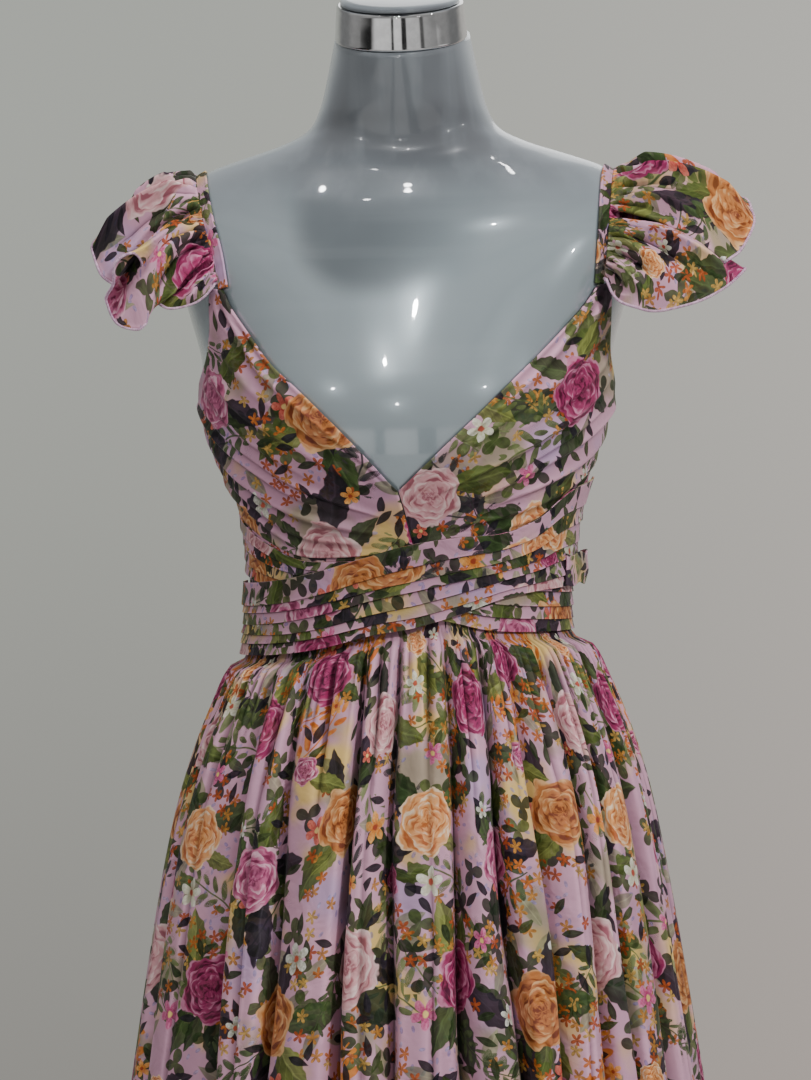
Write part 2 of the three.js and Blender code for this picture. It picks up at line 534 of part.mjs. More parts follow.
// Flutter sleeve: ribs run from the strap over a puff to the free edge, with small gathers along the strap
function sleeve(name, path, ribs) {
  const rows = ribs.map((rib, i) => ({ ...rib, index: i }));
  const outer = grid(SLEEVE_ROWS + 1, SLEEVE_COLUMNS + 1, (i, j) => {
    const index = ((ribs.length - 1) * j) / SLEEVE_COLUMNS;
    const rib = (key) => smooth(rows, "index", key, index);
    const frame = strapFrame(path, rib("station"));
    const start = frame.point.clone();
    start.addScaledVector(frame.arm, STRAP_WIDTH / 2 + SEAM_GAP).addScaledVector(frame.out, CLOTH);
    const end = new THREE.Vector3(rib("x"), rib("y"), rib("z"));
    const v = i / SLEEVE_ROWS;
    const arch = 4 * v * (1 - v) * (1.25 - 0.5 * v);
    const lift = new THREE.Vector3(0, 0, 1).addScaledVector(frame.out, 1).normalize();
    const gather = Math.cos((2 * Math.PI * SLEEVE_GATHERS * j) / SLEEVE_COLUMNS);
    const rise = rib("puff") * arch + SLEEVE_GATHER_RISE * gather * Math.min(1, 6 * v) * (1 - v) ** 2;
    return start.lerp(end, v).addScaledVector(lift, rise);
  });
  const upAndOut = (p) => new THREE.Vector3(Math.sign(p.x), p.y / 60, 2);
  return wall(name, outer, behind(outer, upAndOut));
}

// Skirt panel: columns at every ridge and valley of its folds, from the waist seam to the hem
function skirtPanel(name, from, to, ridges) {
  const all = [...RIDGES_BACK.map((r) => ({ ...r, angle: r.angle - 360 })), ...RIDGES_FRONT, ...RIDGES_BACK,
    ...RIDGES_FRONT.map((r) => ({ ...r, angle: r.angle + 360 }))];
  const fold = (angle) => {
    let i = 0;
    while (all[i + 1].angle <= angle) i += 1;
    const t = (angle - all[i].angle) / (all[i + 1].angle - all[i].angle);
    const reach = THREE.MathUtils.lerp(all[i].reach, all[i + 1].reach, t);
    return FOLD_CREST * reach * Math.cos(2 * Math.PI * t);
  };
  const angles = [from];
  ridges.forEach((ridge) => {
    const next = all[all.findIndex((r) => r.angle === ridge.angle) + 1];
    FOLD_STEPS.forEach((step) => angles.push(THREE.MathUtils.lerp(ridge.angle, next.angle, step)));
  });
  const within = angles.filter((angle) => angle === from || (angle > from + 1 && angle < to - 1));
  within.push(to);
  const outer = SKIRT_LEVELS.map((level) => within.map((angle) => {
    const turn = angle > 180 ? angle - 360 : angle;
    const seam = smooth(WAIST_SEAM, "angle", "z", turn) - SEAM_GAP;
    const bottom = SKIRT_LEVELS[SKIRT_LEVELS.length - 1].drop;
    const z = seam - (level.drop / bottom) * (seam - HEM_Z);
    const body = onBody(angle, z, CLOTH_LIFT + CLOTH);
    const rise = level.fold * fold(angle) + CLOTH;
    const half = SKIRT_WAIST.half + level.side + rise;
    const front = SKIRT_WAIST.front + level.front + rise;
    const back = SKIRT_WAIST.back + level.back + rise;
    return level.fold === 0 ? body : oval(half, front, back, SKIRT_WAIST.power, angle, z);
  }));
  return wall(name, outer, behind(outer, fromAxis));
}

const seamAt = (angle) => smooth(WAIST_SEAM, "angle", "z", angle > 180 ? angle - 360 : angle) + SEAM_GAP;
const backTopAt = (angle) => Math.min(STRAP_Z - SEAM_GAP, smooth(BACK_TOP, "angle", "z", angle));
const underbust = [...UNDERBUST_RIGHT].reverse().concat(UNDERBUST_LEFT);
const underbustAt = (angle) => smooth(underbust, "angle", "z", angle) - SEAM_GAP;

const SIDE_GAP_ANGLE = 0.15; // half of the gap at a side seam, in degrees
const object = new THREE.Group();
object.name = "maxi_dress";
object.add(
  formTorso(), neckBand(), neckCap(), standPole(), standBase(),
  bodiceHalf("front_bodice_right", NECKLINE_RIGHT, UNDERBUST_RIGHT, ARMHOLE_RIGHT, FOLDS_RIGHT),
  bodiceHalf("front_bodice_left", NECKLINE_LEFT, UNDERBUST_LEFT, ARMHOLE_LEFT, FOLDS_LEFT),
  bodyPanel("back_bodice", SIDE_ANGLE + 2 * SIDE_GAP_ANGLE, 360 - SIDE_ANGLE - 2 * SIDE_GAP_ANGLE, 30, 7, seamAt,
    backTopAt, CLOTH_LIFT),
  bodyPanel("front_midriff", -SIDE_ANGLE, SIDE_ANGLE, 30, 6, seamAt, underbustAt, CLOTH_LIFT),
  pleatedBand("wrap_band_under", UNDER_BAND, 4, UNDER_BAND_LIFT),
  pleatedBand("wrap_band_upper", UPPER_BAND, 6, UPPER_BAND_LIFT),
  sashTab(),
  strap("strap_right", STRAP_RIGHT), strap("strap_left", STRAP_LEFT),
  sleeve("sleeve_right", STRAP_RIGHT, SLEEVE_RIGHT), sleeve("sleeve_left", STRAP_LEFT, SLEEVE_LEFT),
  skirtPanel("skirt_front", -90 + SIDE_GAP_ANGLE, 90 - SIDE_GAP_ANGLE, RIDGES_FRONT),
  skirtPanel("skirt_back", 90 + SIDE_GAP_ANGLE, 270 - SIDE_GAP_ANGLE, RIDGES_BACK),
);

export default object;
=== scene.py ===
import math
from functools import partial
import bmesh
import bpy
import numpy as np
from mathutils import Matrix, Vector


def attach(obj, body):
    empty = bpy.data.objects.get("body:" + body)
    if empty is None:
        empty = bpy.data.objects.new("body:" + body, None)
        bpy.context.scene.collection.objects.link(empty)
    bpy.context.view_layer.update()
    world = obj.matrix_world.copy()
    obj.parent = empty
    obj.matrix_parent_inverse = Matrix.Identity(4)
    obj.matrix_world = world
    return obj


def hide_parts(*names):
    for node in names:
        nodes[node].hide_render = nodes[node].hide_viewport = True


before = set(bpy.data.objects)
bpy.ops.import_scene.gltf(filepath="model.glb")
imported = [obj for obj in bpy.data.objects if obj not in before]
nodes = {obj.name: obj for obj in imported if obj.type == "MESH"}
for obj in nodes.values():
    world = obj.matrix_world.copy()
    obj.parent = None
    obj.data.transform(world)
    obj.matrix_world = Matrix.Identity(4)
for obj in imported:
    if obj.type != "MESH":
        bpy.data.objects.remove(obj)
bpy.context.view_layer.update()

# Camera
# A little to the dress's left of straight ahead, at the height of the neckline, tipped down and turned
# slightly. The picture is 811 pixels wide and 1080 high, and a pixel is 0.75 mm at the middle of the dress.
PICTURE_HEIGHT, PIXEL = 1080, 0.00075
DISTANCE = 2.2
AZIMUTH = math.radians(4.5)
EYE_HEIGHT = 1.29
AIM_HEIGHT = 1.15
AIM_RIGHT = -0.0026
ROLL = math.radians(0.75)
SENSOR = 24.0
camera = bpy.data.objects.new("camera", bpy.data.cameras.new("camera"))
bpy.context.scene.collection.objects.link(camera)
bpy.context.scene.camera = camera
camera.data.sensor_fit = "VERTICAL"
camera.data.sensor_height = SENSOR
camera.data.lens = SENSOR * DISTANCE / (PICTURE_HEIGHT * PIXEL)
eye = Vector((math.sin(AZIMUTH) * DISTANCE, -math.cos(AZIMUTH) * DISTANCE, EYE_HEIGHT))
right = Vector((math.cos(AZIMUTH), math.sin(AZIMUTH), 0))
look = (Vector((0, 0, AIM_HEIGHT)) + right * AIM_RIGHT - eye).normalized()
turn = look.to_track_quat("-Z", "Y").to_matrix().to_4x4()
camera.matrix_world = Matrix.Translation(eye) @ turn @ Matrix.Rotation(-ROLL, 4, "Z")

# Dress form: torso and neck
# A smooth glossy shell whose oval changes with height. A row gives the half width, the reach to the front and
# to the back, and how square the oval is. The neck's top leans forward.
FORM_COLUMNS = ("z", "half", "front", "back", "power")
FORM_ROWS = (
    (790, 158, 98, 112, 2.2), (850, 162, 100, 118, 2.2), (900, 160, 99, 119, 2.2),
    (950, 152, 96, 112, 2.2), (1000, 139, 92, 99, 2.15), (1040, 125, 88, 87, 2.1),
    (1080, 117, 86, 80, 2.1), (1110, 116, 88, 79, 2.1), (1140, 117, 93, 81, 2.1),
    (1170, 121, 103, 84, 2.1), (1200, 132, 117, 88, 2.1), (1230, 143, 126, 92, 2.1),
    (1260, 151, 126, 95, 2.1), (1290, 154, 119, 98, 2.1), (1320, 162, 110, 100, 2.15),
    (1350, 170, 100, 101, 2.2), (1380, 176, 87, 97, 2.2), (1400, 174, 74, 88, 2.1),
    (1415, 164, 62, 76, 2.0), (1427, 147, 53, 64, 1.9), (1436, 122, 48.5, 55, 1.8),
    (1445, 94, 47, 50, 1.8), (1455, 73, 48.5, 48, 1.9), (1470, 63, 53, 45, 2.0),
    (1495, 56, 56, 40, 2.0), (1522, 50, 60, 37, 2.0),
)
MM = 0.001
NECK_TILT = math.radians(18)
NECK_START, NECK_TOP_Z, NECK_TOP_Y = 1465, 1522, -12


def table(columns, rows):
    return {name: np.array([row[k] for row in rows], float) for k, name in enumerate(columns)}


def smooth(rows, by, key, value):
    """One column of a table at other places than its rows, with no corner at a row."""
    x, y = rows[by], rows[key]
    value = np.clip(np.asarray(value, float), x[0], x[-1])
    slope = np.empty_like(y)
    slope[1:-1] = (y[2:] - y[:-2]) / (x[2:] - x[:-2])
    slope[0], slope[-1] = (y[1] - y[0]) / (x[1] - x[0]), (y[-1] - y[-2]) / (x[-1] - x[-2])
    i = np.clip(np.searchsorted(x, value, side="right") - 1, 0, len(x) - 2)
    span = x[i + 1] - x[i]
    t = (value - x[i]) / span
    held = (2 * t**3 - 3 * t**2 + 1) * y[i] + (-2 * t**3 + 3 * t**2) * y[i + 1]
    return held + span * ((t**3 - 2 * t**2 + t) * slope[i] + (t**3 - t**2) * slope[i + 1])


def oval(half, front, back, power, angle):
    s, c = np.sin(np.radians(angle)), np.cos(np.radians(angle))
    x = half * np.sign(s) * np.abs(s) ** (2 / power)
    y = np.where(c > 0, -front, back) * np.abs(c) ** (2 / power)
    return x, y


FORM = table(FORM_COLUMNS, FORM_ROWS)


def on_body(angle, z, lift=0.0):
    """Points on the form at an angle and a height, moved out by a lift, in millimetres."""
    angle, z, lift = np.broadcast_arrays(np.asarray(angle, float), z, lift)
    half, front, back, power = (smooth(FORM, "z", key, z) for key in FORM_COLUMNS[1:])
    x, y = oval(half + lift, front + lift, back + lift, power, angle)
    return np.stack([x, y, z], -1)


def new_mesh(name, points, faces, uv=None):
    """A smooth mesh from points in millimetres and faces given by corner, with a UV map in metres."""
    data = bpy.data.meshes.new(name)
    data.from_pydata((np.asarray(points) * MM).tolist(), [], faces)
    data.polygons.foreach_set("use_smooth", [True] * len(data.polygons))
    if uv is not None:
        layer = data.uv_layers.new(name="cut")
        corners = np.empty(len(data.loops), int)
        data.loops.foreach_get("vertex_index", corners)
        layer.data.foreach_set("uv", np.asarray(uv)[corners].ravel())
    data.update()
    piece = bpy.data.objects.new(name, data)
    bpy.context.scene.collection.objects.link(piece)
    return piece


def ring_faces(rings, sides, closed=True):
    """Four-sided faces between rings of points, or between rows of them where the ring is open."""
    i, j = np.meshgrid(np.arange(rings - 1), np.arange(sides if closed else sides - 1), indexing="ij")
    k = (j + 1) % sides
    corners = [i * sides + j, i * sides + k, (i + 1) * sides + k, (i + 1) * sides + j]
    return np.stack(corners, -1).reshape(-1, 4)


def capped(rings, sides):
    """The faces of a tube with a flat face over each end."""
    last = (rings - 1) * sides
    return ring_faces(rings, sides).tolist() + [list(range(sides))[::-1], list(range(last, last + sides))]


def facing_out(piece):
    """Turns the faces of a closed piece outward."""
    bm = bmesh.new()
    bm.from_mesh(piece.data)
    bmesh.ops.recalc_face_normals(bm, faces=bm.faces)
    bm.to_mesh(piece.data)
    bm.free()


FORM_SIDES = 120
form_levels = np.concatenate([
    np.arange(790, 1400, 8.0), np.arange(1400, 1470, 2.5), np.arange(1470, NECK_TOP_Z + 1, 4.0)])
form_levels[-1] = NECK_TOP_Z
form_turn = np.arange(FORM_SIDES) * 360 / FORM_SIDES
form_points = on_body(form_turn[None, :], form_levels[:, None])
lean = np.clip((form_levels - NECK_START) / (NECK_TOP_Z - NECK_START), 0, 1)
lean = (3 * lean**2 - 2 * lean**3) * math.tan(NECK_TILT)
form_points[..., 2] += (form_points[..., 1] - NECK_TOP_Y) * lean[:, None]
form = new_mesh("dress_form", form_points.reshape(-1, 3), capped(len(form_levels), FORM_SIDES))
facing_out(form)


def material(name):
    made = bpy.data.materials.new(name)
    made.use_nodes = True
    tree = made.node_tree
    shader = next(n for n in tree.nodes if n.type == "BSDF_PRINCIPLED")
    return made, tree, shader


def fill(made, inputs):
    """Sets or links the inputs of a node and gives the node back."""
    for key, value in inputs.items():
        if isinstance(value, bpy.types.NodeSocket):
            made.id_data.links.new(value, made.inputs[key])
        else:
            made.inputs[key].default_value = value
    return made


def node(tree, kind, inputs=None, **settings):
    made = tree.nodes.new(kind)
    for key, value in settings.items():
        setattr(made, key, value)
    return fill(made, inputs or {})


def calc(operation, *values, clamp=False):
    """A Math node, in the tree that the first linked value belongs to."""
    tree = next(value.id_data for value in values if isinstance(value, bpy.types.NodeSocket))
    made = node(tree, "ShaderNodeMath", dict(enumerate(values)), operation=operation, use_clamp=clamp)
    return made.outputs[0]


add, sub, mul, div = (partial(calc, name) for name in ("ADD", "SUBTRACT", "MULTIPLY", "DIVIDE"))
mul_add, raised, absolute = (partial(calc, name) for name in ("MULTIPLY_ADD", "POWER", "ABSOLUTE"))
sine, cosine, least, most = (partial(calc, name) for name in ("SINE", "COSINE", "MINIMUM", "MAXIMUM"))


def mix(factor, a, b):
    return node(factor.id_data, "ShaderNodeMix", {0: factor, 6: a, 7: b}, data_type="RGBA").outputs[2]


def step(value, low, high):
    """Rises softly from 0 at low to 1 at high."""
    return node(value.id_data, "ShaderNodeMapRange", {"Value": value, "From Min": low, "From Max": high},
                interpolation_type="SMOOTHSTEP").outputs[0]


def remap(value, low, high):
    return node(value.id_data, "ShaderNodeMapRange", {0: value, 3: low, 4: high}).outputs[0]


def noise(place, scale, detail, distortion=0.0):
    return node(place.id_data, "ShaderNodeTexNoise", {
        "Vector": place, "Scale": scale, "Detail": detail, "Distortion": distortion}).outputs[0]


def scaled(place, scale):
    return node(place.id_data, "ShaderNodeMapping", {0: place, 3: scale}).outputs[0]


def split(vector):
    return node(vector.id_data, "ShaderNodeSeparateXYZ", {0: vector}).outputs


# middle and edge tones of the torso and of the neck: the pale edge tones are a painted reflection where the
# surface turns away, and the dark middle of the neck is a painted reflection of a dark room
NECK_REFLECTION_COLOURS = (0.090, 0.093, 0.104, 1), (0.42, 0.46, 0.49, 1)
TORSO_AND_REFLECTION_COLOURS = (0.325, 0.386, 0.414, 1), (0.53, 0.61, 0.64, 1)
plastic, tree, shader = material("glossy_form_plastic")
where = node(tree, "ShaderNodeTexCoord").outputs["Object"]
aside, ahead, height = split(where)
cloudy = noise(where, 7.0, 3.0)
streaks = noise(scaled(where, (70.0, 70.0, 3.0)), 1.0, 2.0)
level_bands = noise(scaled(where, (4.0, 4.0, 55.0)), 1.0, 3.0)
neck_part = step(height, 1.36, 1.445)
# painted reflection: the colour turns paler where the surface turns away from the view
edge_reflection = node(tree, "ShaderNodeLayerWeight", {0: 0.42}).outputs["Facing"]
middle, reflected_edges = (mix(neck_part, low, high) for low, high in zip(TORSO_AND_REFLECTION_COLOURS, NECK_REFLECTION_COLOURS))
skin = mix(step(edge_reflection, 0.12, 0.85), middle, reflected_edges)
# painted reflection: the dark mirrored middle of the neck runs out in a rounded tongue on the chest, painted
# into the colour
across = div(add(aside, 0.014), 0.058)
below = div(most(sub(1.39, height), 0.0), 0.055)
reflected_tongue = step(add(raised(absolute(across), 2.5), raised(below, 2.5)), 1.5, 0.55)
reflected_tongue = mul(mul(reflected_tongue, step(ahead, -0.02, -0.05)), step(aside, 0.070, -0.030))
skin = mix(mul(reflected_tongue, 0.72), skin, (0.140, 0.154, 0.168, 1))
skin = mix(mul(step(cloudy, 0.4, 0.7), 0.18), skin, (0.40, 0.47, 0.50, 1))
skin = mix(mul(mul(step(streaks, 0.45, 0.75), neck_part), 0.13), skin, (0.36, 0.40, 0.43, 1))
skin = mix(mul(mul(step(level_bands, 0.5, 0.7), sub(1.0, neck_part)), 0.10), skin, (0.46, 0.52, 0.55, 1))
ripple = node(tree, "ShaderNodeBump", {
    "Strength": 0.06, "Distance": 0.002, "Height": noise(where, 22.0, 1.0)})
fill(shader, {
    "Base Color": skin, "Roughness": remap(noise(where, 40.0, 4.0), 0.20, 0.28), "Normal": ripple.outputs[0],
    "Metallic": remap(neck_part, 0.42, 0.10), "Coat Weight": remap(neck_part, 0.90, 0.30),
    "Coat Roughness": 0.028, "Coat IOR": 1.85, "IOR": 1.5})
form.data.materials.append(plastic)
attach(form, "root")
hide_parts("form_torso")

# Neck cap and chrome band
# The band is a rolled metal strip round the neck's tilted top, with softly rounded edges, and the cap inside
# it is a shallow dome of the form's plastic.
BAND_LOW, BAND_HIGH = 49.0, 46.8
CAP_RADIUS = 44.0


def neck_point(radius, rise, angle):
    turn = np.radians(angle)
    x, y, z = radius * np.sin(turn), -radius * np.cos(turn), np.broadcast_to(rise, np.shape(turn))
    c, s = math.cos(NECK_TILT), math.sin(NECK_TILT)
    return np.stack([x, y * c - z * s + NECK_TOP_Y, y * s + z * c + NECK_TOP_Z], -1)


def neck_turned(name, profile, sides=128):
    """A profile of radius and height, turned about the neck's own axis, with both ends closed."""
    angle = np.arange(sides) * 360 / sides
    points = np.concatenate([neck_point(radius, rise, angle) for radius, rise in profile])
    piece = new_mesh(name, points, capped(len(profile), sides))
    facing_out(piece)
    return piece


band = neck_turned("neck_band_chrome", [
    (BAND_LOW - 3, 0.6), (BAND_LOW - 1.2, 0.5), (BAND_LOW - 0.4, 0.9), (BAND_LOW, 1.8), (BAND_LOW - 0.1, 3.0),
    (BAND_LOW - 0.7, 9.0), (48.0, 14.0), (47.4, 20.0), (BAND_HIGH + 0.1, 24.5), (BAND_HIGH, 25.6),
    (BAND_HIGH - 0.5, 26.6), (BAND_HIGH - 1.5, 27.0), (BAND_HIGH - 2.6, 26.9)])
chrome, tree, shader = material("polished_chrome")
fine = noise(node(tree, "ShaderNodeTexCoord").outputs["Object"], 160.0, 3.0)
fill(shader, {
    "Base Color": mix(step(fine, 0.3, 0.7), (0.66, 0.66, 0.67, 1), (0.74, 0.74, 0.75, 1)),
    "Roughness": remap(fine, 0.05, 0.11), "Metallic": 1.0})
band.data.materials.append(chrome)
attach(band, "root")
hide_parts("form_neck_band")

cap = neck_turned("neck_cap", [
    (CAP_RADIUS, 27.5), (CAP_RADIUS, 29.0), (CAP_RADIUS - 0.6, 30.2), (CAP_RADIUS - 2.2, 31.0),
    (CAP_RADIUS - 8, 31.6), (CAP_RADIUS - 20, 31.9), (8, 32.0)])
cap.data.materials.append(plastic)
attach(cap, "root")
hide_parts("form_neck_cap")

# Stand: pole and round base
# Plain satin steel, hidden under the skirt. The turned solids keep their shape and get a brushed finish.
steel, tree, shader = material("satin_steel")
grain = noise(scaled(node(tree, "ShaderNodeTexCoord").outputs["Object"], (12.0, 12.0, 400.0)), 3.0, 4.0)
fill(shader, {
    "Base Color": mix(grain, (0.42, 0.43, 0.45, 1), (0.60, 0.61, 0.63, 1)),
    "Roughness": remap(grain, 0.25, 0.42), "Metallic": 1.0})
for name in ("stand_pole", "stand_base"):
    nodes[name].data.materials.clear()
    nodes[name].data.materials.append(steel)

# Printed cloth
# Pale lilac-pink chiffon with a painted-looking print. Roses with a ring of leaves each, leafy twigs and
# small flowers repeat every 320 mm of the flat cut, over dabs, florets and foliage scattered in clusters.
TILE = 320.0
ROSE_COLUMNS = ("x", "y", "radius", "turn", "tint", "leaves")
ROSE_ROWS = (
    (62, 58, 28, 10, 0.1, 5), (165, 38, 30, 80, 0.5, 5), (262, 74, 32, 200, 0.7, 4),
    (126, 140, 26, 160, 0.3, 5), (30, 168, 26, 310, 0.9, 4), (222, 176, 28, 40, 0.5, 4),
    (100, 252, 28, 250, 0.1, 5), (286, 240, 26, 100, 0.7, 4), (190, 286, 25, 220, 0.1, 4),
    (316, 128, 13, 130, 0.1, 2), (180, 216, 12, 300, 0.3, 2), (20, 300, 13, 20, 0.9, 2),
)
LEAF_LENGTH = 40.0
SPRAYS = (("print_spray_a", 15, 3, 66), ("print_spray_b", 12, 40, 50))
BLOOMS, BLOOM_START = 19, 11
GOLDEN = 0.618
PRINT_LAYERS = ("print_rose", "print_leaf_a", "print_leaf_b", "print_leaf_c", "print_spray_a",
                "print_spray_b", "print_bloom")


def spread(count, start, pair=(0.7549, 0.5698)):
    """Places that fill the tile evenly, in millimetres."""
    n = np.arange(start, start + count)
    return zip((n * pair[0] % 1) * TILE, (n * pair[1] % 1) * TILE)


def chart():
    """The motifs of one tile: for each layer rows of x, y, size, turn in radians and tint."""
    rows = {name: [] for name in PRINT_LAYERS}
    roses = table(ROSE_COLUMNS, ROSE_ROWS)
    leaf = 0
    for x, y, radius, turn, tint, leaves in zip(*(roses[c] for c in ROSE_COLUMNS)):
        rows["print_rose"].append((x, y, radius, math.radians(turn), tint))
        for k in range(int(leaves) + 1):
            leaf += 1
            aim = math.radians(turn + 360 * k / (leaves + 1) + 26 * math.sin(5.1 * leaf))
            out = radius * 0.66
            place = (x + out * math.cos(aim), y + out * math.sin(aim))
            size = LEAF_LENGTH * (0.55 + 0.018 * radius) * (1.0 + 0.28 * math.sin(2.3 * leaf))
            bend = aim + 0.7 * math.sin(3.7 * leaf)
            rows[PRINT_LAYERS[1 + leaf % 3]].append((*place, size, bend, (leaf * GOLDEN) % 1))
    for layer, count, start, size in SPRAYS:
        for k, place in enumerate(spread(count, start)):
            length = size * (1 + 0.2 * math.sin(4.1 * k))
            rows[layer].append((*place, length, 2.4 * k + start, (k * GOLDEN + 0.3) % 1))
    for k, place in enumerate(spread(BLOOMS, BLOOM_START)):
        rows["print_bloom"].append((*place, 10 + 3.5 * math.sin(2.9 * k), 1.7 * k, (k * GOLDEN + 0.1) % 1))
    return {name: np.array(value) for name, value in rows.items()}


CHART = chart()


def stamp(data, uv):
    """Gives every face of a mesh, for each print layer, the nearest motif's own coordinates and its tint."""
    starts = np.empty(len(data.polygons), int)
    data.polygons.foreach_get("loop_start", starts)
    sizes = np.empty(len(data.polygons), int)
    data.polygons.foreach_get("loop_total", sizes)
    face = np.repeat(np.arange(len(starts)), sizes)
    centre = np.stack([np.bincount(face, uv[:, k]) / sizes for k in (0, 1)], -1)
    reach = np.zeros(len(starts))
    np.maximum.at(reach, face, np.hypot(*(uv - centre[face]).T))
    for layer, rows in CHART.items():
        best = np.full(len(starts), 1e9)
        local = np.full((len(uv), 3), 9.0)
        kind = layer.split("_")[1]
        for x, y, size, turn, tint in rows:
            shift = np.round((centre - (x, y)) / TILE) * TILE + (x, y)
            c, s = math.cos(turn), math.sin(turn)
            away = centre - shift
            a, b = (away[:, 0] * c + away[:, 1] * s) / size, (away[:, 1] * c - away[:, 0] * s) / size
            if kind in ("rose", "bloom"):
                far = np.hypot(a, b) * size - size * 1.02
            else:
                wide = 0.30 if kind == "leaf" else 0.32
                far = np.hypot(np.maximum(np.abs(a - 0.5) - 0.45, 0), np.maximum(np.abs(b) - wide, 0)) * size
            take = (far < best) & (far < reach + 1.0)
            best[take] = far[take]
            chosen = take[face]
            off = (uv - shift[face])[chosen]
            local[chosen, 0] = (off[:, 0] * c + off[:, 1] * s) / size
            local[chosen, 1] = (off[:, 1] * c - off[:, 0] * s) / size
            local[chosen, 2] = tint
        data.attributes.new(layer, "FLOAT_VECTOR", "CORNER").data.foreach_set("vector", local.ravel())


def group(name, build):
    """A node group that turns a motif's own coordinates and tint into a mask and a colour."""
    made = bpy.data.node_groups.new(name, "ShaderNodeTree")
    made.interface.new_socket("Place", in_out="INPUT", socket_type="NodeSocketVector")
    made.interface.new_socket("Mask", in_out="OUTPUT", socket_type="NodeSocketFloat")
    made.interface.new_socket("Color", in_out="OUTPUT", socket_type="NodeSocketColor")
    mask, colour = build(*split(made.nodes.new("NodeGroupInput").outputs[0]))
    fill(made.nodes.new("NodeGroupOutput"), {0: mask, 1: colour})
    return made


def colour_ramp(value, stops, interpolation):
    made = node(value.id_data, "ShaderNodeValToRGB", {0: value})
    made.color_ramp.interpolation = interpolation
    elements = made.color_ramp.elements
    while len(elements) < len(stops):
        elements.new(0.5)
    for k, (place, colour) in enumerate(stops):
        elements[k].position = place
        elements[k].color = (*colour, 1)
    return made.outputs[0]


def palette(tint, colours):
    """One of some colours, each for an equal share of the tints."""
    return colour_ramp(tint, [(k / len(colours), colour) for k, colour in enumerate(colours)], "CONSTANT")


def shades(colours, factor, lift=0.0):
    return [tuple(factor * v + lift for v in colour) for colour in colours]


def length_of(x, y):
    return calc("SQRT", add(mul(x, x), mul(y, y)))


def joined(x, y, z):
    return node(x.id_data, "ShaderNodeCombineXYZ", {0: x, 1: y, 2: z}).outputs[0]


def turned(x, y, c, s):
    """Coordinates along and across a direction with this cosine and sine."""
    return add(mul(x, c), mul(y, s)), sub(mul(y, c), mul(x, s))


def wobble(x, y, tint, scale, amount, detail=1.0):
    return mul(sub(noise(joined(x, y, mul(tint, 37.0)), scale, detail), 0.5), amount)


# rings of petals from the rim inward: edge, lobes, depth of the lobes, phase and brightness
PETALS = ((0.90, 5.0, 0.09, 0.4, 0.95), (0.69, 4.0, 0.12, 1.9, 1.0), (0.51, 4.0, 0.15, 0.2, 0.86),
          (0.34, 3.0, 0.18, 2.6, 0.66), (0.18, 2.0, 0.22, 1.0, 0.36))
# the dark, the middle and the light tone of each kind of rose, and the tones of the other motifs
ROSE_TINTS = (
    ((0.085, 0.004, 0.028), (0.20, 0.022, 0.075), (0.20, 0.045, 0.012), (0.36, 0.11, 0.14),
     (0.46, 0.12, 0.03)),
    ((0.33, 0.028, 0.115), (0.52, 0.125, 0.25), (0.54, 0.19, 0.055), (0.70, 0.36, 0.38), (0.82, 0.36, 0.13)),
    ((0.66, 0.25, 0.39), (0.80, 0.47, 0.57), (0.80, 0.46, 0.21), (0.86, 0.64, 0.62), (0.93, 0.70, 0.48)),
)
LEAF_TINTS = (
    (0.030, 0.055, 0.014), (0.085, 0.115, 0.024), (0.020, 0.014, 0.024), (0.045, 0.075, 0.018),
    (0.018, 0.012, 0.020), (0.020, 0.032, 0.016), (0.17, 0.19, 0.045), (0.035, 0.055, 0.018),
)
SPRAY_TINTS = (
    ((0.03, 0.05, 0.02), (0.05, 0.07, 0.02), (0.015, 0.012, 0.02), (0.50, 0.10, 0.01), (0.03, 0.045, 0.02),
     (0.10, 0.13, 0.04)),
    ((0.12, 0.17, 0.06), (0.20, 0.24, 0.09), (0.08, 0.08, 0.07), (0.88, 0.38, 0.08), (0.15, 0.19, 0.08),
     (0.28, 0.32, 0.14)),
)
BLOOM_TINTS = (
    ((0.42, 0.015, 0.13), (0.60, 0.16, 0.015), (0.30, 0.30, 0.20), (0.52, 0.48, 0.30), (0.40, 0.03, 0.02)),
    ((0.80, 0.26, 0.44), (0.90, 0.46, 0.14), (0.86, 0.84, 0.76), (0.88, 0.86, 0.74), (0.78, 0.22, 0.16)),
)
BLOOM_EYES = ((0.85, 0.62, 0.20), (0.35, 0.05, 0.02), (0.55, 0.10, 0.05), (0.45, 0.08, 0.05),
              (0.80, 0.55, 0.20))
BUD_PITCH = 0.17


def rose(x, y, tint):
    plain = length_of(x, y)
    r = add(plain, wobble(x, y, tint, 2.4, 0.42, 2.0))
    angle = calc("ARCTAN2", y, x)
    tone, mask = 0.0, None
    for edge, lobes, depth, shift, light in PETALS:
        wave = cosine(mul_add(angle, lobes, mul_add(tint, 9.0, shift)))
        inside = sub(mul_add(wave, depth * edge, edge), r)
        fade = sub(1.0, div(inside, 0.30), clamp=True)
        crease = raised(mul_add(wave, -0.5, 0.5), 4.0)
        value = mul(mul_add(crease, -0.55, 1.0), mul(raised(fade, 1.5), light))
        here = step(inside, 0.0, 0.03)
        if mask is None:
            mask, tone = here, value
        else:
            tone = add(mul(tone, sub(1.0, here)), mul(value, here))
    # brush strokes that follow the petals round the middle
    around = joined(div(x, plain), div(y, plain), mul_add(tint, 37.0, mul(r, 6.5)))
    tone = add(tone, mul_add(noise(around, 1.6, 2.0), 1.7, -0.82))
    dark, middle, light = (palette(tint, colours) for colours in ROSE_TINTS)
    return mask, mix(step(tone, 0.42, 0.95), mix(step(tone, -0.02, 0.42), dark, middle), light)


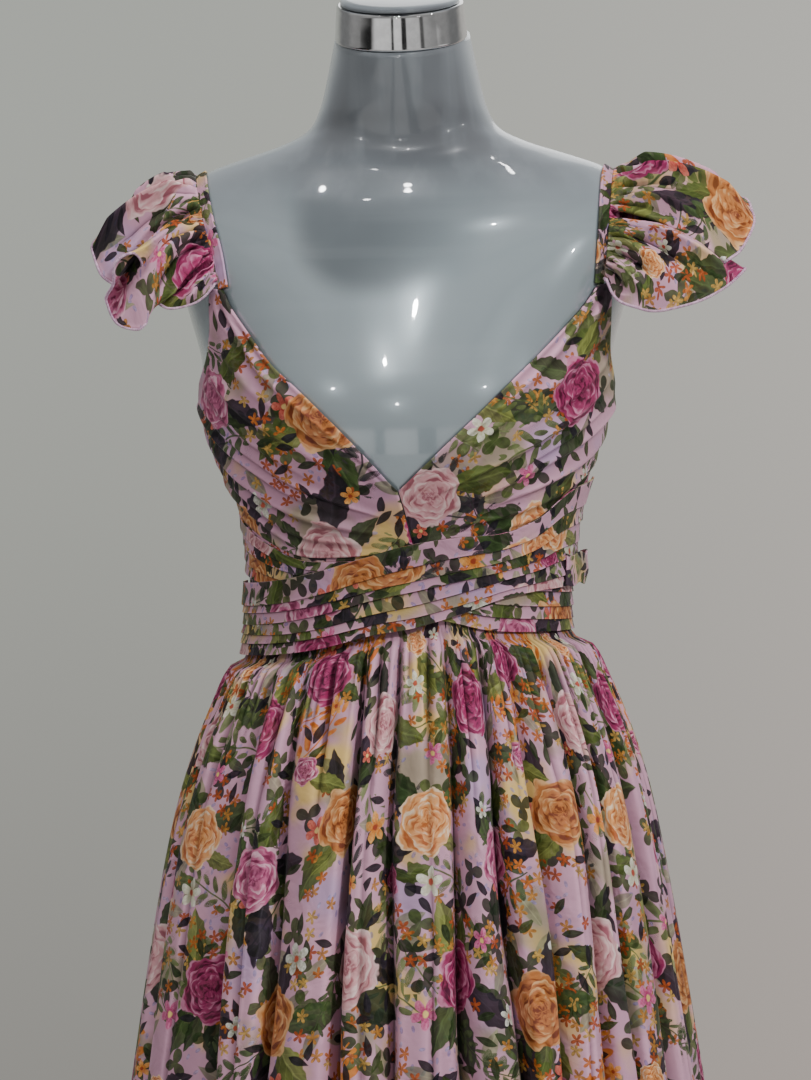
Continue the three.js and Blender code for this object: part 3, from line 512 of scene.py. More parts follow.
def leaf(x, y, tint):
    y = add(y, wobble(x, y, tint, 2.5, 0.16))
    side = absolute(y)
    body = sine(mul(least(raised(most(x, 0.0), 0.8), 1.0), math.pi))
    notch = calc("PINGPONG", mul(x, 6.0), 0.5)
    mask = step(sub(mul(body, mul_add(notch, 0.07, 0.21)), side), 0.0, 0.02)
    tone = add(0.30, wobble(x, mul(y, 3.0), tint, 3.5, 1.5, 2.0))
    tone = add(tone, mul(calc("SIGN", y), 0.14))
    ribs = calc("PINGPONG", sub(mul(x, 5.0), mul(side, 6.0)), 0.5)
    tone = add(tone, mul(step(ribs, 0.09, 0.0), 0.22))
    tone = add(tone, mul(step(side, 0.022, 0.006), 0.4), clamp=True)
    deep, pale = palette(tint, shades(LEAF_TINTS, 0.5)), palette(tint, shades(LEAF_TINTS, 1.8, 0.010))
    return mask, mix(tone, deep, pale)


def spray(x, y, tint):
    y = add(y, mul(sine(mul(x, 3.4)), 0.07))
    y = add(y, wobble(x, y, tint, 3.0, 0.14))
    inside = mul(calc("GREATER_THAN", x, 0.0), calc("LESS_THAN", x, 1.0))
    side = absolute(y)
    # buds stand to both sides of the stem, each with a size and a slant of its own
    place = mul_add(calc("SIGN", y), 0.22, div(x, BUD_PITCH))
    which = joined(calc("FLOOR", place), calc("SIGN", y), tint)
    chance = node(x.id_data, "ShaderNodeTexWhiteNoise", {"Vector": which}).outputs[0]
    run = mul(sub(calc("FRACT", place), 0.5), BUD_PITCH)
    out = sub(side, mul_add(chance, 0.06, 0.085))
    aim = mul_add(chance, 1.0, 0.35)
    a, b = turned(run, out, cosine(aim), sine(aim))
    size = mul(mul_add(x, -0.4, 1.2), mul_add(chance, 0.6, 0.75))
    a, b = div(a, mul(size, 0.105)), div(b, mul(size, 0.040))
    taper = mul_add(mul(a, b), 0.5, mul(b, b))
    bud = step(sub(1.0, add(mul(a, a), taper)), 0.0, 0.2)
    mask = mul(most(bud, step(side, 0.014, 0.006)), inside)
    tone = add(0.4, wobble(x, y, tint, 9.0, 1.7), clamp=True)
    return mask, mix(tone, *(palette(tint, colours) for colours in SPRAY_TINTS))


def bloom(x, y, tint):
    r = add(length_of(x, y), wobble(x, y, tint, 3.0, 0.26))
    wave = absolute(cosine(mul(calc("ARCTAN2", y, x), 2.5)))
    mask = step(sub(mul_add(raised(wave, 0.8), 0.64, 0.26), r), 0.0, 0.06)
    tone = add(r, wobble(x, y, tint, 7.0, 1.3), clamp=True)
    colour = mix(tone, *(palette(tint, colours) for colours in BLOOM_TINTS))
    return mask, mix(step(r, 0.22, 0.13), colour, palette(tint, BLOOM_EYES))


def scatter(cut, cell, offset, patch, level, shape, tints, strength):
    """Small motifs, one to a cell of this many metres, kept only in patches. Returns a mask and a colour."""
    tree = cut.id_data
    place = node(tree, "ShaderNodeMapping", {
        0: cut, 1: (offset, offset * 1.7, 0), 3: (1 / cell, 1 / cell, 1.0)}).outputs[0]
    cells = node(tree, "ShaderNodeTexVoronoi", {"Vector": place, "Scale": 1.0, "Randomness": 0.85},
                 voronoi_dimensions="2D", feature="F1").outputs
    turn, tint, chance = node(tree, "ShaderNodeSeparateColor", {0: cells["Color"]}).outputs
    off = node(tree, "ShaderNodeVectorMath", {0: place, 1: cells["Position"]}, operation="SUBTRACT")
    turn = mul(turn, 6.283)
    x, y, _ = split(off.outputs[0])
    a, b = turned(x, y, cosine(turn), sine(turn))
    side = absolute(b)
    zone = noise(cells["Position"], cell * patch, 1.0)
    on = calc("GREATER_THAN", mul_add(chance, 0.16, zone), level + 0.08)
    if shape == "leaf":
        body = cosine(mul(least(absolute(a), 0.5), math.pi))
        room = sub(mul(body, mul_add(a, -0.12, 0.17)), side)
    elif shape == "petal":
        room = sub(0.30, length_of(a, mul(b, 1.9)))
    else:
        lobes = absolute(cosine(mul(calc("ARCTAN2", b, a), 1.5 if shape == "ivy" else 2.5)))
        room = sub(mul_add(raised(lobes, 1.3), 0.36, 0.12), length_of(a, b))
    mask = mul(step(room, 0.0, 0.03), mul(on, strength))
    rough = mul_add(noise(place, 3.5, 2.0), 2.2, -0.75)
    tone = add(rough, mul(step(side, 0.022, 0.006), 0.35), clamp=True)
    return mask, mix(tone, palette(tint, shades(tints, 0.5)), palette(tint, shades(tints, 1.5, 0.006)))


MOTIFS = {"rose": group("rose_print", rose), "leaf": group("leaf_print", leaf),
          "spray": group("spray_print", spray), "bloom": group("bloom_print", bloom)}
GROUND = (0.70, 0.385, 0.50, 1)
GROUND_SHADE = (0.59, 0.32, 0.44, 1)
GREENS = ((0.030, 0.052, 0.014), (0.060, 0.090, 0.020), (0.022, 0.030, 0.014), (0.11, 0.14, 0.035))
DARKS = ((0.018, 0.014, 0.022), (0.030, 0.045, 0.016), (0.020, 0.016, 0.020), (0.05, 0.07, 0.02))
ORANGES = ((0.54, 0.15, 0.025), (0.52, 0.22, 0.04), (0.44, 0.085, 0.02), (0.56, 0.33, 0.08))
LILACS = ((0.30, 0.28, 0.52), (0.42, 0.36, 0.58), (0.24, 0.20, 0.46))
OLIVES = ((0.22, 0.24, 0.10), (0.30, 0.30, 0.16), (0.16, 0.19, 0.08))
# soft washes of colour: how dense, from and to which level of noise, its place, its strength and its colour
WASHES = (
    (12.0, 0.58, 0.70, 9.0, 0.5, (0.42, 0.34, 0.60, 1)),
    (14.0, 0.55, 0.66, 17.0, 0.72, (0.27, 0.27, 0.12, 1)),
    (13.0, 0.55, 0.66, 3.0, 0.8, (0.80, 0.56, 0.12, 1)),
)
# from the bottom up: a layer of stamped motifs, or scattered ones with their cell in metres, place, size of
# the patches, level, shape, tints and strength
PRINT_ORDER = (
    (0.0085, 1.3, 15.0, 0.535, "petal", LILACS, 0.62), (0.032, 4.1, 12.0, 0.51, "leaf", OLIVES, 0.75),
    "print_spray_a", (0.025, 7.7, 11.0, 0.50, "ivy", GREENS, 0.92), "print_leaf_a", "print_leaf_b",
    (0.0115, 2.9, 14.0, 0.545, "flower", ORANGES, 0.92), "print_spray_b", "print_leaf_c",
    (0.0185, 9.3, 13.0, 0.525, "leaf", DARKS, 0.95), "print_bloom", "print_rose",
)

cloth, tree, shader = material("printed_chiffon")
cut = node(tree, "ShaderNodeUVMap", uv_map="cut").outputs[0]


def cloud(scale, low, high, shift):
    moved = node(tree, "ShaderNodeMapping", {0: cut, 1: (shift, shift, shift)}).outputs[0]
    return step(noise(moved, scale, 2.5), low, high)


colour = mix(cloud(6.0, 0.3, 0.7, 23.0), GROUND, GROUND_SHADE)
for *where, strength, wash in WASHES:
    colour = mix(mul(cloud(*where), strength), colour, wash)
for layer in PRINT_ORDER:
    if isinstance(layer, str):
        place = node(tree, "ShaderNodeAttribute", attribute_name=layer).outputs["Vector"]
        motif = node(tree, "ShaderNodeGroup", {0: place}, node_tree=MOTIFS[layer.split("_")[1]]).outputs
        colour = mix(mul(motif[0], 0.95), colour, motif[1])
    else:
        mask, over = scatter(cut, *layer)
        colour = mix(mask, colour, over)
# less light gets to the bottom of a crease, and a ridge's top is a little paler
bend = node(tree, "ShaderNodeNewGeometry").outputs["Pointiness"]
shade = node(tree, "ShaderNodeMapRange", {0: bend, 1: 0.42, 2: 0.53, 3: 0.18, 4: 1.05}).outputs[0]
shade = node(tree, "ShaderNodeCombineColor", {0: shade, 1: shade, 2: shade}).outputs[0]
colour = node(tree, "ShaderNodeMix", {0: 1.0, 6: colour, 7: shade}, data_type="RGBA",
              blend_type="MULTIPLY").outputs[2]
weave = noise(scaled(cut, (2400.0, 2400.0, 1.0)), 1.0, 2.0)
crepe = noise(cut, 130.0, 2.0)
bump = node(tree, "ShaderNodeBump", {
    "Strength": 0.45, "Distance": 0.007, "Height": noise(cut, 30.0, 3.0, 0.8)}).outputs[0]
bump = node(tree, "ShaderNodeBump", {
    "Strength": 0.30, "Distance": 0.0012, "Height": add(mul(weave, 0.25), crepe), "Normal": bump}).outputs[0]
fill(shader, {
    "Base Color": colour, "Roughness": remap(crepe, 0.42, 0.58), "Normal": bump, "Sheen Weight": 0.04,
    "Sheen Roughness": 0.4, "Specular IOR Level": 0.16})
glow = node(tree, "ShaderNodeBsdfTranslucent", {"Color": colour, "Normal": bump}).outputs[0]
both = node(tree, "ShaderNodeMixShader", {0: 0.08, 1: shader.outputs[0], 2: glow}).outputs[0]
fill(next(n for n in tree.nodes if n.type == "OUTPUT_MATERIAL"), {0: both})

# Front bodice
# Two draped halves that cross at the V. Each is spanned between its neckline, its underbust edge, the short
# centre seam and the armhole with the side seam, and its folds run from the side to the centre.
CLOTH = 1.5
LIFT = 2.5
SIDE = 96.0
STRAP_END_Z = 1337.4
# millimetres for a degree round the body, along a line on it and in the flat cloth
LINE_DEGREE, CUT_DEGREE = 2.1, 2.36
LINE_COLUMNS = ("angle", "z")
NECKLINE = {
    "right": ((0.4, 1192), (-7.5, 1217), (-16.5, 1243), (-25, 1265), (-35, 1287), (-40.5, 1307), (-45, 1325),
              (-46.5, STRAP_END_Z)),
    "left": ((0.8, 1192), (9, 1213), (19.5, 1240), (30, 1267), (41, 1292), (48, 1310), (53.5, 1325),
             (56.5, STRAP_END_Z)),
}
ARMHOLE = {
    "right": ((-46.5, STRAP_END_Z), (-52, STRAP_END_Z), (-58, 1308), (-68, 1282), (-82, 1266), (-SIDE, 1262),
              (-SIDE, 1222), (-SIDE, 1178)),
    "left": ((56.5, STRAP_END_Z), (62.5, STRAP_END_Z), (69, 1312), (77, 1284), (86, 1268), (SIDE, 1262),
             (SIDE, 1222), (SIDE, 1168)),
}
UNDERBUST = {
    "right": ((4.6, 1151), (-3.5, 1147), (-15.5, 1144), (-35, 1144), (-53, 1155), (-77, 1171), (-96, 1178)),
    "left": ((5, 1151), (11, 1155), (18.5, 1157), (35, 1158), (55, 1161), (77, 1165), (96, 1168)),
}
# Where a fold lies between neckline (0) and underbust edge (1), at the centre and at the side, how wide and
# how high it is, and the stretch between centre (0) and side (1) that it runs over
FOLDS = {
    "right": ((0.05, 0.10, 0.030, 1.6, 0.00, 0.95), (0.16, 0.20, 0.035, 1.6, 0.25, 1.00),
              (0.30, 0.30, 0.030, 2.4, 0.10, 0.90), (0.42, 0.40, 0.028, 2.0, 0.30, 1.00),
              (0.55, 0.50, 0.034, 3.4, 0.05, 1.00), (0.68, 0.60, 0.030, 3.2, 0.20, 1.00),
              (0.80, 0.70, 0.034, 4.6, 0.08, 1.00), (0.90, 0.80, 0.030, 4.2, 0.15, 1.00),
              (0.97, 0.90, 0.024, 3.2, 0.20, 1.00)),
    "left": ((0.04, 0.10, 0.030, 1.4, 0.05, 1.00), (0.16, 0.20, 0.030, 2.6, 0.15, 1.00),
             (0.28, 0.29, 0.026, 2.0, 0.45, 1.00), (0.40, 0.38, 0.034, 3.2, 0.10, 1.00),
             (0.55, 0.48, 0.028, 2.6, 0.30, 1.00), (0.66, 0.58, 0.032, 3.2, 0.12, 1.00),
             (0.78, 0.68, 0.028, 3.0, 0.25, 1.00), (0.88, 0.78, 0.030, 3.4, 0.10, 0.95),
             (0.96, 0.90, 0.024, 2.4, 0.15, 1.00)),
}
BODICE_CELLS = 96
# the small gathers below a strap's end spread over this width and drop, and die out at this distance
GATHER_WIDTH, GATHER_DROP, GATHER_REACH = 62, 150, 52


def along(rows, fraction):
    """Angle and height at a fraction of a line's length on the body."""
    line = table(LINE_COLUMNS, rows)
    run = np.hypot(np.diff(line["angle"]) * LINE_DEGREE, np.diff(line["z"]))
    line["length"] = np.concatenate([[0], np.cumsum(run)])
    length = np.asarray(fraction) * line["length"][-1]
    angle = np.clip(smooth(line, "length", "angle", length), -SIDE, SIDE)
    return np.stack([angle, smooth(line, "length", "z", length)], -1)


profile_z = np.arange(1040, 1345, 1.0)
profile_y = smooth(FORM, "z", "front", profile_z)
profile_length = np.concatenate([[0], np.cumsum(np.hypot(np.diff(profile_z), np.diff(profile_y)))])


def flat_cut(angle, z, turn=0.0, shift=(0.0, 0.0)):
    """Place in the flat cloth, in millimetres, of a point on the body: round it and along its front."""
    u = np.asarray(angle) * CUT_DEGREE
    v = np.interp(z, profile_z, profile_length)
    c, s = math.cos(math.radians(turn)), math.sin(math.radians(turn))
    return np.stack([u * c - v * s + shift[0], u * s + v * c + shift[1]], -1)


def normals(points):
    down = np.gradient(points, axis=0)
    across = np.gradient(points, axis=1)
    n = np.cross(down, across)
    return n / np.maximum(np.linalg.norm(n, axis=-1, keepdims=True), 1e-9)


def shell(name, outer, cut, thick=CLOTH, away=None, inner=None):
    """Thin cloth: a grid of outer points and a grid one thickness behind it, joined along all four edges."""
    rows, columns = outer.shape[:2]
    if inner is None:
        n = normals(outer)
        away = outer * (1, 1, 0) if away is None else away
        n *= 1.0 if np.sum(n * away) > 0 else -1.0
        inner = outer - n * thick
    points = np.concatenate([outer.reshape(-1, 3), inner.reshape(-1, 3)])
    faces = ring_faces(rows, columns, closed=False)
    size = rows * columns
    loop = np.concatenate([np.arange(columns), np.arange(2, rows + 1) * columns - 1,
                           np.arange(columns - 2, -1, -1) + (rows - 1) * columns,
                           np.arange(rows - 2, 0, -1) * columns])
    after = np.roll(loop, -1)
    edge = np.stack([loop, loop + size, after + size, after], -1)
    quads = np.concatenate([faces, faces[:, ::-1] + size, edge])
    a, b, c, d = (points[quads[:, k]] for k in range(4))
    if np.einsum("ij,ij->i", a, np.cross(b, c) + np.cross(c, d)).sum() < 0:
        quads = quads[:, ::-1]
    flat = np.concatenate([cut.reshape(-1, 2), cut.reshape(-1, 2)])
    piece = new_mesh(name, points, quads.tolist(), flat * MM)
    stamp(piece.data, flat[quads.ravel()])
    piece.data.materials.append(cloth)
    return piece


def dressed(piece, node_name):
    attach(piece, "root")
    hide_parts(node_name)


def bodice_half(side, turn, shift):
    s = np.linspace(0, 1, BODICE_CELLS + 1)[None, :]
    t = np.linspace(0, 1, BODICE_CELLS + 1)[:, None]
    top, low = along(NECKLINE[side], s[0])[None], along(UNDERBUST[side], s[0])[None]
    edge = along(ARMHOLE[side], t[:, 0])[:, None]
    centre = (1 - t[..., None]) * top[:, :1] + t[..., None] * low[:, :1]
    s3, t3 = s[..., None], t[..., None]
    place = (1 - t3) * top + t3 * low + (1 - s3) * centre + s3 * edge
    place -= (1 - t3) * ((1 - s3) * top[:, :1] + s3 * top[:, -1:])
    place -= t3 * ((1 - s3) * low[:, :1] + s3 * low[:, -1:])
    rise = np.zeros((BODICE_CELLS + 1, BODICE_CELLS + 1))
    for k, (mid, out, width, height, start, end) in enumerate(FOLDS[side]):
        line = mid + (out - mid) * s + 0.012 * np.sin(5 * s + 1.7 * k)
        off = (t - line) / width
        # one flank of a draped fold is steep and the other is soft
        bump = np.where(off > 0, np.exp(-((off * 1.9) ** 2)), np.exp(-((off * 0.62) ** 2)))
        fade = np.clip((s - start) / 0.22, 0, 1) * np.clip((end + 0.1 - s) / 0.2, 0, 1)
        rise += 1.3 * height * bump * fade * (0.85 + 0.25 * np.sin(4 * s + 2.1 * k))
    rise += 0.5 * np.sin(38 * t + 3 * s + 1.2 * np.sin(6 * s)) * np.clip(s * 3 - 1.4, 0, 1)
    # small gathers that run down from the strap's end
    away = np.hypot((1 - s) * GATHER_WIDTH, t * GATHER_DROP)
    fan = np.arctan2(t * GATHER_DROP, (1 - s) * GATHER_WIDTH + 4)
    fade = np.exp(-((away / GATHER_REACH) ** 2)) * np.clip(away / 10, 0, 1)
    rise += 1.3 * np.cos(13 * fan + 1.5 * np.sin(3 * fan)) * fade
    inward = np.minimum(np.minimum(s * 10, (1 - s) * 10), np.minimum(t * 22 + 0.15, (1 - t) * 14))
    rise *= np.clip(inward, 0, 1)
    # the underbust edge stands a little off the midriff
    rise += 1.7 * np.clip((t - 0.93) / 0.05, 0, 1) * np.clip(s * 8, 0, 1) * np.clip((1 - s) * 5, 0, 1)
    outer = on_body(place[..., 0], place[..., 1], LIFT + CLOTH + rise)
    cut = flat_cut(place[..., 0], place[..., 1], turn, shift)
    return shell("bodice_front_" + side, outer, cut)


bodice_right = bodice_half("right", 28, (40, 10))
bodice_left = bodice_half("left", -30, (190, 120))
dressed(bodice_right, "front_bodice_right")
dressed(bodice_left, "front_bodice_left")

# Back bodice
# One elasticated panel from side seam to side seam, down to the waist seam, with fine upright gathers held by
# rows of shirring.
BACK_TOP = table(LINE_COLUMNS, (
    (96, 1262), (108, 1272), (120, 1300), (127, STRAP_END_Z), (134, STRAP_END_Z), (146, 1304), (162, 1272),
    (180, 1258), (198, 1272), (214, 1304), (226, STRAP_END_Z), (233, STRAP_END_Z), (240, 1300), (252, 1272),
    (264, 1262)))
WAIST_SEAM = table(LINE_COLUMNS, (
    (-180, 1076), (-120, 1075), (-95, 1074), (-74, 1074), (-45, 1078), (-26, 1084), (-8.5, 1094), (3.5, 1099),
    (16, 1102), (30, 1096), (50, 1093), (77, 1091), (95, 1089), (130, 1080), (180, 1076)))
BACK_COLUMNS, BACK_ROWS = 280, 84
SHIRRING_PITCH = 11.0


def waist_seam(angle):
    angle = np.where(np.asarray(angle) > 180, np.asarray(angle) - 360, angle)
    return smooth(WAIST_SEAM, "angle", "z", angle)


angle = np.linspace(SIDE + 0.3, 360 - SIDE - 0.3, BACK_COLUMNS)[None, :]
part = np.linspace(0, 1, BACK_ROWS)[:, None]
low = waist_seam(angle) + 0.5
high = np.minimum(smooth(BACK_TOP, "angle", "z", angle), STRAP_END_Z)
z = low + (high - low) * part
row_wave = np.abs(np.sin(np.pi * (high - z) / SHIRRING_PITCH))
gather = np.sin(angle * 2.9 + 0.8 * np.sin(z * 0.21)) + 0.6 * np.sin(angle * 4.7 + z * 0.05)
calm = np.clip(np.minimum(part * 25, (1 - part) * 25), 0, 1)
calm = calm * np.clip((360 - SIDE - angle) / 3, 0, 1) * np.clip((angle - SIDE) / 3, 0, 1)
outer = on_body(angle, z, LIFT + CLOTH + calm * (0.5 * row_wave + 0.45 * gather * (0.4 + 0.6 * row_wave)))
back = shell("bodice_back", outer, flat_cut(angle + 0 * z, z, 0, (60, 200)))
dressed(back, "back_bodice")

# Midriff and crossing wrap bands
# A plain panel with two pleated bands over it. Each pleat's folded edge points down and stands out over the
# next pleat, and the print jumps there because cloth is hidden in the fold.
BAND_COLUMNS = ("angle", "low", "high")
UPPER_BAND = table(BAND_COLUMNS, (
    (-95, 1066, 1120), (-74, 1067, 1121), (-45, 1071, 1126), (-26, 1077, 1134), (-8.5, 1087, 1145),
    (3.5, 1092, 1153), (18, 1101, 1158), (35, 1112, 1160), (50, 1116, 1170), (64, 1117, 1188),
    (80, 1118, 1194), (95, 1118, 1196)))
UNDER_BAND = table(BAND_COLUMNS, (
    (-95, 1131, 1175), (-77, 1127, 1168), (-53, 1121, 1152), (-35, 1117, 1141), (-15, 1109, 1141),
    (3, 1101, 1143), (16, 1096, 1138), (30, 1089, 1131), (50, 1086, 1126), (77, 1084, 1121),
    (95, 1083, 1119)))
# where each pleat starts between a band's lower edge (0) and upper edge (1), at its right and its left end
UPPER_PLEATS = ((0.0, 0.0), (0.15, 0.11), (0.29, 0.25), (0.43, 0.41), (0.56, 0.58), (0.68, 0.76), (1.0, 1.0))
UNDER_PLEATS = ((0.0, 0.0), (0.24, 0.22), (0.5, 0.48), (0.76, 0.74), (1.0, 1.0))
BAND_CELLS = 170
# how far a pleat stands out, from its folded edge (0) up to the next pleat (1)
PLEAT_LEVELS = ((0.0, 0.55), (0.012, 0.95), (0.05, 1.0), (0.12, 0.93), (0.30, 0.68), (0.50, 0.42),
                (0.70, 0.20), (0.90, 0.03), (0.985, 0.0))


def pleated_band(name, reflected_edges, pleats, lift, rise, hidden, seed, turn, shift):
    angle = np.linspace(reflected_edges["angle"][0], reflected_edges["angle"][-1], BAND_CELLS)
    low, high = smooth(reflected_edges, "angle", "low", angle), smooth(reflected_edges, "angle", "high", angle)
    across = (angle - angle[0]) / (angle[-1] - angle[0])
    heights, lifts, cuts = [], [], []
    for k in range(len(pleats) - 1):
        start = pleats[k][0] + (pleats[k][1] - pleats[k][0]) * across
        end = pleats[k + 1][0] + (pleats[k + 1][1] - pleats[k + 1][0]) * across
        sway = 0.016 * np.sin(7 * across + 2.3 * k + seed) * (0 < k)
        sway_next = 0.016 * np.sin(7 * across + 2.3 * (k + 1) + seed) * (k + 2 < len(pleats))
        for level, out in PLEAT_LEVELS:
            f = start + sway + (end + sway_next - start - sway) * level
            swell = 1 + 0.35 * np.sin(9 * across + 1.9 * k + seed)
            heights.append(low + (high - low) * f)
            lifts.append(lift + CLOTH + rise * out * swell)
            cuts.append(hidden * k)
    heights.append(high)
    lifts.append(lift + CLOTH + 0 * angle)
    cuts.append(hidden * (len(pleats) - 1))
    z, out = np.array(heights), np.array(lifts)
    outer = on_body(angle[None, :], z, out)
    cut = flat_cut(angle[None, :] + 0 * z, z, turn, shift)
    cut[..., 1] += np.array(cuts)[:, None]
    cut[..., 0] += np.array(cuts)[:, None] * 1.7
    inner = on_body(angle[None, :], z, lift)
    return shell(name, outer, cut, inner=inner)


angle = np.linspace(-SIDE, SIDE, 120)[None, :]
under_line = table(LINE_COLUMNS, UNDERBUST["right"][::-1] + UNDERBUST["left"])
low, high = waist_seam(angle) + 0.5, smooth(under_line, "angle", "z", angle) - 0.5
z = low + (high - low) * np.linspace(0, 1, 30)[:, None]
midriff = shell("midriff_front", on_body(angle, z, LIFT + CLOTH), flat_cut(angle + 0 * z, z))
dressed(midriff, "front_midriff")
under_band = pleated_band(
    "wrap_band_under_pleats", UNDER_BAND, UNDER_PLEATS, lift=4.5, rise=1.1, hidden=16, seed=1.0, turn=4,
    shift=(30, 90))
upper_band = pleated_band(
    "wrap_band_upper_pleats", UPPER_BAND, UPPER_PLEATS, lift=7.7, rise=1.15, hidden=14, seed=4.0, turn=-8,
    shift=(120, 20))
dressed(under_band, "wrap_band_under")
dressed(upper_band, "wrap_band_upper")

# Sash tab
# A folded loop of cloth that puffs out of the side seam on the wearer's left.
TAB_START, TAB_END, TAB_LOW, TAB_HEIGHT = 68, 95, 1118, 23
TAB = table(("angle", "lift"), (
    (TAB_START, 11.6), (74, 13.4), (80, 15), (86, 16.5), (91, 16), (TAB_END, 12.8)))
angle = np.linspace(TAB_START, TAB_END, 60)[None, :]
part = np.linspace(0, 1, 40)[:, None]
z = TAB_LOW + TAB_HEIGHT * part + 1.2 * np.sin(angle * 0.5)
puff = 1.8 * np.sin(np.pi * part) ** 0.7 + 0.5 * np.sin(9 * part + angle * 0.12)
puff = puff * np.sin(np.pi * (angle - TAB_START) / (TAB_END - TAB_START)) ** 0.5
outer = on_body(angle, z, smooth(TAB, "angle", "lift", angle) + puff)
tab = shell("sash_tab_loop", outer, flat_cut(angle + 0 * z, z, 30, (200, 240)))
dressed(tab, "sash_tab")

# Shoulder straps
# Narrow bound bands over the form's shoulders, softly rounded across, with a fine ridge along both edges.
STRAP_WIDTH, STRAP_LIFT, ARCH_Y, ARCH_Z = 8.6, 0.8, 8.0, 1338.0
RAY_REACH = 200.0
STRAP_COLUMNS = ("station", "x")
STRAP = {
    "right": table(STRAP_COLUMNS, ((0, -126), (19, -131), (39, -139), (65, -147), (90, -152), (115, -148),
                                   (141, -140), (180, -127))),
    "left": table(STRAP_COLUMNS, ((0, 144), (19, 146), (39, 148), (65, 150), (90, 152), (115, 150),
                                  (141, 143), (180, 127))),
}


def outside(p):
    half, power = smooth(FORM, "z", "half", p[..., 2]), smooth(FORM, "z", "power", p[..., 2])
    front, rear = smooth(FORM, "z", "front", p[..., 2]), smooth(FORM, "z", "back", p[..., 2])
    depth = np.where(p[..., 1] < 0, front, rear)
    return (np.abs(p[..., 0]) / half) ** power + (np.abs(p[..., 1]) / depth) ** power - 1


def on_shoulder(x, station):
    """Points of the form where a strap's stations cross it, and the directions away from the form."""
    turn = np.radians(station)
    ray = np.stack([0 * turn, -np.cos(turn), np.sin(turn)], -1)
    start = np.stack([x, 0 * x + ARCH_Y, 0 * x + ARCH_Z], -1)
    near, far = 0 * x, 0 * x + RAY_REACH
    for _ in range(40):
        middle = (near + far) / 2
        within = outside(start + ray * middle[..., None]) < 0
        near, far = np.where(within, middle, near), np.where(within, far, middle)
    point = start + ray * near[..., None]
    slope = np.stack([outside(point + d) - outside(point - d) for d in 2.0 * np.eye(3)], -1)
    return point, slope / np.linalg.norm(slope, axis=-1, keepdims=True)


def strap_frame(path, station):
    """Underside of a strap at its stations, the directions away from the form and to the arm."""
    def at(s):
        return on_shoulder(smooth(path, "station", "x", s), s)
    point, out = at(station)
    run = at(np.minimum(180, station + 3))[0] - at(np.maximum(0, station - 3))[0]
    arm = np.cross(run, out)
    arm /= np.linalg.norm(arm, axis=-1, keepdims=True)
    arm *= np.sign(arm[..., :1] * path["x"][0])
    return point + out * STRAP_LIFT, out, arm


def make_strap(side, shift):
    station = np.linspace(0.5, 178.9, 150)
    point, out, arm = strap_frame(STRAP[side], station)
    across = np.linspace(-1, 1, 17)
    crown = 0.55 * (1 - across**2) + 0.35 * np.exp(-(((np.abs(across) - 0.82) / 0.10) ** 2))
    wave = 1 + 0.25 * np.sin(station * 0.9)[:, None]
    outer = (point[:, None] + arm[:, None] * (across * STRAP_WIDTH / 2)[None, :, None]
             + out[:, None] * (CLOTH * 0.85 + crown[None, :, None] * wave[..., None] * 0.8))
    inner = point[:, None] + arm[:, None] * (across * STRAP_WIDTH / 2)[None, :, None] + out[:, None] * 0.1
    run = np.concatenate([[0], np.cumsum(np.linalg.norm(np.diff(point, axis=0), axis=-1))])
    cut = np.stack(np.broadcast_arrays(across[None, :] * 6 + shift[0], run[:, None] + shift[1]), -1)
    piece = shell("strap_band_" + side, outer, cut, inner=inner)
    dressed(piece, "strap_" + side)
    return piece


strap_right, strap_left = make_strap("right", (20, 0)), make_strap("left", (250, 150))

